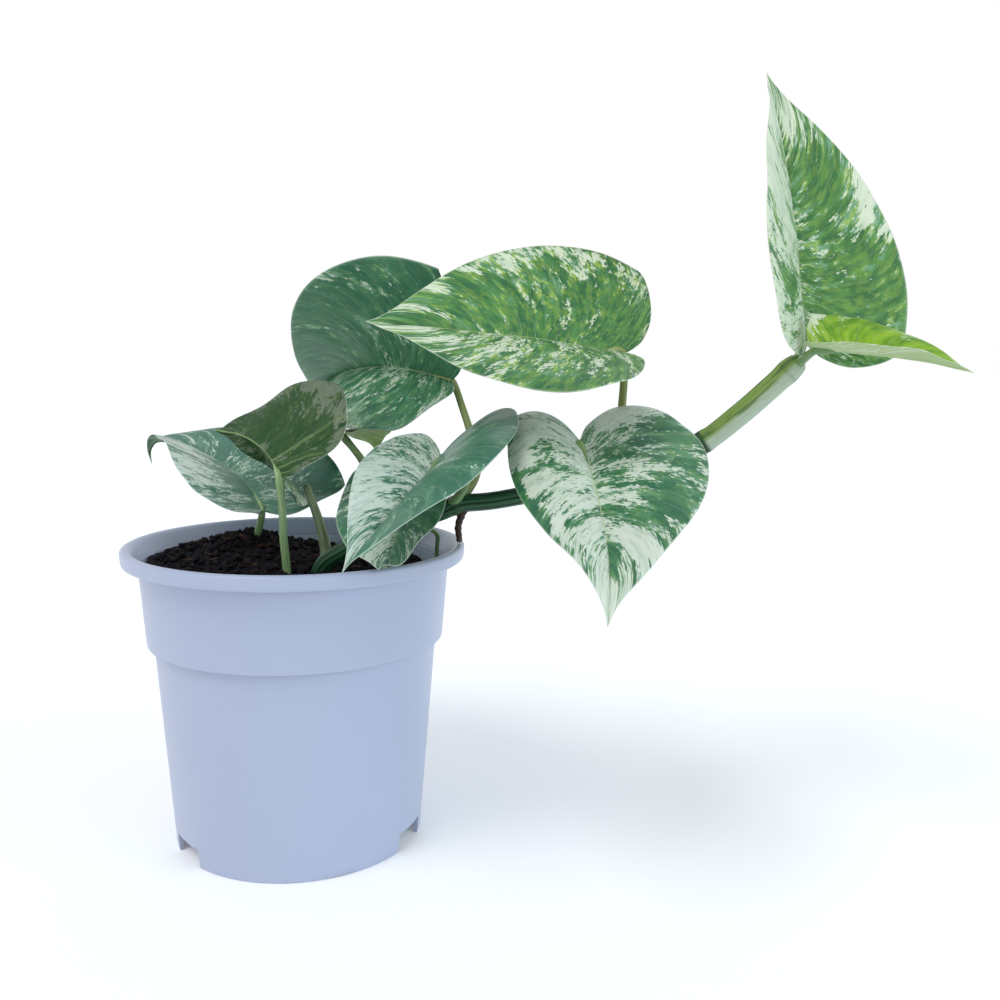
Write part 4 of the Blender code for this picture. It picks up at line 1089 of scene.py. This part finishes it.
def leaf_midrib(leaf):
    """Stations along the midrib: distance along, centre, width direction and face direction."""
    length = leaf["length"]
    along = np.linspace(-0.35 * length, length, MIDRIB_STATIONS)
    t = along / length
    ahead = np.clip(t, 0, None)
    bend = np.radians(leaf["droop"]) * ahead
    bend += np.radians(leaf["tip_droop"]) * np.clip((t - 0.75) / 0.25, 0, 1) ** 1.5
    bend -= np.radians(leaf["lobe_lift"]) * np.clip(-t / 0.2, 0, None)
    bend += np.radians(leaf.get("curl_under", 0)) * np.clip((t - 0.86) / 0.10, 0, 1)
    sweep = np.radians(leaf["sweep"]) * ahead
    tangent = np.stack([np.sin(sweep) * np.cos(bend), np.cos(sweep) * np.cos(bend), -np.sin(bend)], 1)
    middle = (tangent[1:] + tangent[:-1]) / 2 * (along[1] - along[0])
    centre = np.concatenate([np.zeros((1, 3)), np.cumsum(middle, 0)])
    centre -= [np.interp(0, along, centre[:, k]) for k in range(3)]
    width = np.stack([np.cos(sweep), -np.sin(sweep), np.zeros(MIDRIB_STATIONS)], 1)
    face = np.cross(width, tangent)
    twist = (np.radians(leaf["twist"]) * ahead)[:, None]
    return (along, centre, np.cos(twist) * width + np.sin(twist) * face,
            np.cos(twist) * face - np.sin(twist) * width)


def leaf_surface(leaf, across, along):
    """World points of the blade's middle surface, for flat coordinates in metres."""
    stations, centres, widths, faces = leaf_midrib(leaf)
    centre, width, face = (np.stack([np.interp(along, stations, a[:, k]) for k in range(3)], -1)
                           for a in (centres, widths, faces))
    half = np.where(across < 0, leaf["left"], leaf["right"])
    fold = np.radians(np.where(across < 0, *leaf["fold"]))
    curl = np.radians(np.where(across < 0, *leaf["curl"]))
    curl = np.where(np.abs(curl) < 0.001, 0.001, curl)
    share = np.abs(across) / half
    out = half / curl * (np.sin(fold + curl * share) - np.sin(fold))
    lift = half / curl * (np.cos(fold) - np.cos(fold + curl * share))
    local = centre + (np.sign(across) * out)[..., None] * width + lift[..., None] * face
    right, ahead, up = (np.array(v) for v in leaf_axes(leaf))
    base = np.array(above_rim(leaf["base"]))
    return base + local[..., 0:1] * right + local[..., 1:2] * ahead + local[..., 2:3] * up


def leaf_grid(leaf, rows, columns):
    """Flat coordinates of the blade: each row runs from margin to margin through the midrib."""
    across = np.zeros((rows + 1, 2 * columns + 1))
    along = np.zeros_like(across)
    for i in range(rows + 1):
        edge_x, edge_y = outline_point(i / rows)
        edge_y *= leaf["lobe"] if edge_y < 0 else 1
        middle_y = (i / rows) ** 1.7
        for j in range(-columns, columns + 1):
            share = abs(j) / columns
            half = leaf["right"] if j > 0 else -leaf["left"]
            across[i, j + columns] = share * edge_x * half
            along[i, j + columns] = (middle_y * (1 - share) + edge_y * share) * leaf["length"]
    return across, along


def blade_height(leaf, look, share, row, reach, points, seed):
    """How far the surface stands off the plain blade: groove, swellings between veins and a wavy margin."""
    away = np.abs(share)
    ray = row - VEIN_SWEEP * away ** 1.4
    groove = -0.00034 * np.exp(-(reach / 0.0009) ** 2)
    swell = np.abs(np.sin(math.pi * ray * leaf["length"] / VEIN_SPACING)) ** 0.7
    quilt = 0.00018 * swell * np.clip(away * 5, 0, 1) * np.clip((1 - away) * 4, 0, 1)
    side = np.sign(share)
    wave = 0.0008 * look["ripple"] * away ** 3 * np.sin(math.tau * (4.3 * row + 0.31 * seed) + 1.7 * side)
    flat = points.reshape(-1, 3)
    lumps = np.array([bump_at(*p, BLADE_LUMPS, seed) for p in flat]).reshape(share.shape)
    ribs = -0.00030 * blade_ribs(look, share, row)
    return (groove + quilt + wave + ribs + 0.00045 * lumps) * np.clip(np.sin(math.pi * row) * 4, 0, 1)


def blade_ribs(look, share, row):
    """Where the raised veins on the back run, 0 to 1."""
    away = np.abs(share)
    ribs = np.zeros_like(share)
    for at in look.get("ribs", ()):
        ribs = np.maximum(ribs, np.exp(-((row - at - 0.03 * away) / 0.007) ** 2) * np.clip(1.2 - away, 0, 1))
    return ribs


def blade_whiteness(look, share, row):
    """How white each point of a blade tends to be, where 0.5 is half white."""
    away = np.abs(share)
    ray = row - VEIN_SWEEP * away ** 1.4 * 0.5
    white = np.where(share < 0, look["cream"][0], look["cream"][1])
    for side, across, at, wide, tall, amount in look["patches"]:
        spot = amount * np.exp(-((away - across) / wide) ** 2 - ((ray - at) / tall) ** 2)
        white = white + np.where(share * side >= 0, spot, 0.0)
    return white


def surface_normals(points, fallback):
    """Directions that a grid of points faces, for rows along the blade and columns across it."""
    across = np.gradient(points, axis=1)
    along = np.gradient(points, axis=0)
    normals = np.cross(across, along)
    size = np.linalg.norm(normals, axis=-1, keepdims=True)
    return np.where(size > 1e-12, normals / np.maximum(size, 1e-12), np.array(fallback))


def build_leaf(index, name, settings):
    """A blade from its outline and bends, with its markings laid on its points."""
    leaf, look = LEAVES[name], LOOKS[name]
    rows, columns = settings.rows, settings.columns
    across, along = leaf_grid(leaf, rows, columns)
    share = np.tile(np.linspace(-1, 1, 2 * columns + 1), (rows + 1, 1))
    row = np.tile(np.linspace(0, 1, rows + 1)[:, None], (1, 2 * columns + 1))
    middle = along[:, columns][:, None]
    reach = np.hypot(across, along - middle)
    edge = np.where(share < 0, reach[:, :1], reach[:, -1:])
    points = leaf_surface(leaf, across, along)
    normals = surface_normals(points, leaf_axes(leaf)[2])
    points = points + normals * blade_height(leaf, look, share, row, reach, points, index)[..., None]
    white = blade_whiteness(look, share, row)
    ray = (row - VEIN_SWEEP * np.abs(share) ** 1.4) * leaf["length"] / CENTIMETRE
    ribs = blade_ribs(look, share, row)
    maps = np.stack([np.sign(share) * reach / CENTIMETRE, ray], -1).reshape(-1, 2)
    marks = np.stack([white, (edge - reach) / CENTIMETRE, row, np.ones_like(row)], -1).reshape(-1, 4)
    flat = points.reshape(-1, 3)

    bm = bmesh.new()
    bmesh.ops.create_grid(bm, x_segments=2 * columns, y_segments=rows, size=0.5)
    veins = bm.loops.layers.uv.new("veins")
    layer = bm.verts.layers.float_color.new("marks")
    rib_layer = bm.verts.layers.float.new("ribs")
    body = bm.verts.layers.deform.verify()
    order = []
    for vert in bm.verts:
        i = round((vert.co.y + 0.5) * rows)
        j = round((vert.co.x + 0.5) * 2 * columns)
        order.append(i * (2 * columns + 1) + j)
        vert.co = flat[order[-1]]
        vert[layer] = marks[order[-1]]
        vert[rib_layer] = ribs[i, j]
        vert[body][0] = float(np.clip((edge - reach)[i, j] / MARGIN_REACH, 0, 1))
    bm.verts.index_update()
    for face in bm.faces:
        for loop in face.loops:
            loop[veins].uv = maps[order[loop.vert.index]]
    bmesh.ops.remove_doubles(bm, verts=bm.verts, dist=1e-7)
    seed = 3.7 * index + 1.3
    materials = [blade_material(name, look, seed, settings, under) for under in (False, True)]
    piece = finish_piece(name.replace("leaf", "blade"), bm, materials, "leaf", name)
    piece.vertex_groups.new(name="body")
    thick = piece.modifiers.new("thickness", "SOLIDIFY")
    thick.thickness = settings.thickness
    thick.offset = 0
    thick.vertex_group = "body"
    thick.thickness_vertex_group = 0.35
    thick.material_offset = 1
    thick.use_even_offset = False


def build_leaves(settings):
    for index, name in enumerate(LEAVES):
        build_leaf(index, name, settings)


# ---------------------------------------------------------------- the stage
def floor_material(settings):
    """A pale floor with a faint light of its own, so that it meets the backdrop without a line."""
    material, tree, shader = start_material("Pale floor", Emission_Color=(1.0, 1.0, 1.0, 1.0),
                                            Emission_Strength=0.12)
    cloud = speckle(tree, object_place(tree), 3.0, 2.0)
    colour = mixed(tree, cloud, settings.floor, tuple(c * 0.985 for c in settings.floor))
    plug(tree, shader, colour, maths(tree, "MULTIPLY_ADD", cloud, 0.05, 0.85))
    return material


def build_floor(settings):
    """A wide flat floor just under the pot's foot."""
    bm = bmesh.new()
    bmesh.ops.create_grid(bm, x_segments=8, y_segments=8, size=FLOOR_REACH,
                          matrix=Matrix.Translation((0, 0, -0.00005)))
    mesh = bpy.data.meshes.new("floor")
    bm.to_mesh(mesh)
    bm.free()
    mesh.shade_smooth()
    mesh.materials.append(floor_material(settings))
    floor = bpy.data.objects.new("floor", mesh)
    bpy.context.scene.collection.objects.link(floor)


def add_light(name, place, softness, strength, colour):
    """An even light from one side, softened over an angle in degrees."""
    light = bpy.data.lights.new(name, "SUN")
    light.angle = math.radians(softness)
    light.energy = strength
    light.color = colour
    lamp = bpy.data.objects.new(name, light)
    lamp.location = place
    lamp.rotation_euler = (-Vector(place)).to_track_quat("-Z", "Y").to_euler()
    bpy.context.scene.collection.objects.link(lamp)


def add_camera():
    pitch, roll = math.radians(-CAMERA_PITCH), math.radians(CAMERA_ROLL)
    ahead = Vector((0, math.cos(pitch), math.sin(pitch)))
    up = Vector((0, -math.sin(pitch), math.cos(pitch)))
    right = Vector((1, 0, 0))
    x_axis = right * math.cos(roll) + up * math.sin(roll)
    y_axis = up * math.cos(roll) - right * math.sin(roll)
    camera = bpy.data.objects.new("camera", bpy.data.cameras.new("camera"))
    camera.data.lens = CAMERA_LENS
    camera.data.sensor_width = CAMERA_SENSOR
    turn = Matrix((x_axis, y_axis, -ahead)).transposed().to_4x4()
    camera.matrix_world = Matrix.Translation(CAMERA_PLACE) @ turn
    camera.data.clip_start = 0.01
    camera.data.clip_end = FLOOR_REACH
    bpy.context.scene.collection.objects.link(camera)
    bpy.context.scene.camera = camera


def build_world(settings):
    world = bpy.data.worlds.new("Soft sky")
    world.use_nodes = True
    tree = world.node_tree
    background = tree.nodes["Background"]
    height = node(tree, "ShaderNodeSeparateXYZ", {0: node(tree, "ShaderNodeTexCoord").outputs["Generated"]})
    lift = step_between(tree, height.outputs["Z"], 0.35, 0.95)
    tree.links.new(mixed(tree, lift, (1.0, 1.0, 1.0), (0.42, 0.47, 0.54)), background.inputs["Color"])
    background.inputs["Strength"].default_value = settings.sky
    bpy.context.scene.world = world


def build_stage(settings):
    build_floor(settings)
    build_world(settings)
    for name, (place, softness, colour) in LIGHTS.items():
        add_light(name, place, softness, getattr(settings, name), colour)
    add_camera()
    bpy.context.scene.view_settings.view_transform = "Standard"


# ---------------------------------------------------------------- operators, panel and registration
class POTHOS_OT_pot(bpy.types.Operator):
    """Moulds the white nursery pot with its rolled lip, stepped collar, notches and drain holes"""
    bl_idname = "pothos.pot"
    bl_label = "Pot"

    def execute(self, context):
        build_pot(context.scene.pothos_pot)
        return {"FINISHED"}


class POTHOS_OT_soil(bpy.types.Operator):
    """Fills the pot with a crumbly bed of compost"""
    bl_idname = "pothos.soil"
    bl_label = "Soil"

    def execute(self, context):
        build_soil(context.scene.pothos_soil)
        return {"FINISHED"}


class POTHOS_OT_litter(bpy.types.Operator):
    """Strews crumbs and bark chips over the compost"""
    bl_idname = "pothos.litter"
    bl_label = "Crumbs and bark"

    def execute(self, context):
        build_litter(context.scene.pothos_soil)
        return {"FINISHED"}


class POTHOS_OT_vine(bpy.types.Operator):
    """Grows the ridged vine with its swollen nodes"""
    bl_idname = "pothos.vine"
    bl_label = "Vine"

    def execute(self, context):
        build_vine(context.scene.pothos_stem)
        return {"FINISHED"}


class POTHOS_OT_petioles(bpy.types.Operator):
    """Grows the grooved stalks that carry the leaves"""
    bl_idname = "pothos.petioles"
    bl_label = "Leaf stalks"

    def execute(self, context):
        build_petioles(context.scene.pothos_stem)
        return {"FINISHED"}


class POTHOS_OT_roots(bpy.types.Operator):
    """Adds the cut stalk, the brown aerial root and the thin feeding root"""
    bl_idname = "pothos.roots"
    bl_label = "Roots and cut stalk"

    def execute(self, context):
        build_small_stems(context.scene.pothos_stem)
        return {"FINISHED"}


class POTHOS_OT_leaves(bpy.types.Operator):
    """Grows the ten marbled leaves"""
    bl_idname = "pothos.leaves"
    bl_label = "Leaves"

    def execute(self, context):
        build_leaves(context.scene.pothos_leaf)
        return {"FINISHED"}


class POTHOS_OT_stage(bpy.types.Operator):
    """Lays the pale floor and sets the soft lights and the camera"""
    bl_idname = "pothos.stage"
    bl_label = "Stage"

    def execute(self, context):
        build_stage(context.scene.pothos_stage)
        return {"FINISHED"}


OPERATORS = (POTHOS_OT_pot, POTHOS_OT_soil, POTHOS_OT_litter, POTHOS_OT_vine, POTHOS_OT_petioles,
             POTHOS_OT_roots, POTHOS_OT_leaves, POTHOS_OT_stage)
SETTINGS = {
    "pothos_pot": PothosPotSettings,
    "pothos_soil": PothosSoilSettings,
    "pothos_stem": PothosStemSettings,
    "pothos_leaf": PothosLeafSettings,
    "pothos_stage": PothosStageSettings,
}


class POTHOS_PT_sidebar(bpy.types.Panel):
    """The plant's pieces, each with the button that builds it"""
    bl_idname = "POTHOS_PT_sidebar"
    bl_label = "Potted Marble Pothos"
    bl_space_type = "VIEW_3D"
    bl_region_type = "UI"
    bl_category = "Pothos"

    def draw(self, context):
        for group in SETTINGS:
            box = self.layout.box()
            settings = getattr(context.scene, group)
            for name in settings.__annotations__:
                box.prop(settings, name)
        for operator in OPERATORS:
            self.layout.operator(operator.bl_idname)


def register():
    for kind in (*SETTINGS.values(), *OPERATORS, POTHOS_PT_sidebar):
        bpy.utils.register_class(kind)
    for name, kind in SETTINGS.items():
        setattr(bpy.types.Scene, name, PointerProperty(type=kind))


def unregister():
    for name in SETTINGS:
        delattr(bpy.types.Scene, name)
    for kind in (POTHOS_PT_sidebar, *reversed(OPERATORS), *SETTINGS.values()):
        bpy.utils.unregister_class(kind)


def main():
    register()
    bpy.ops.pothos.pot()
    bpy.ops.pothos.soil()
    bpy.ops.pothos.litter()
    bpy.ops.pothos.vine()
    bpy.ops.pothos.petioles()
    bpy.ops.pothos.roots()
    bpy.ops.pothos.leaves()
    bpy.ops.pothos.stage()


if __name__ == "__main__":
    main()
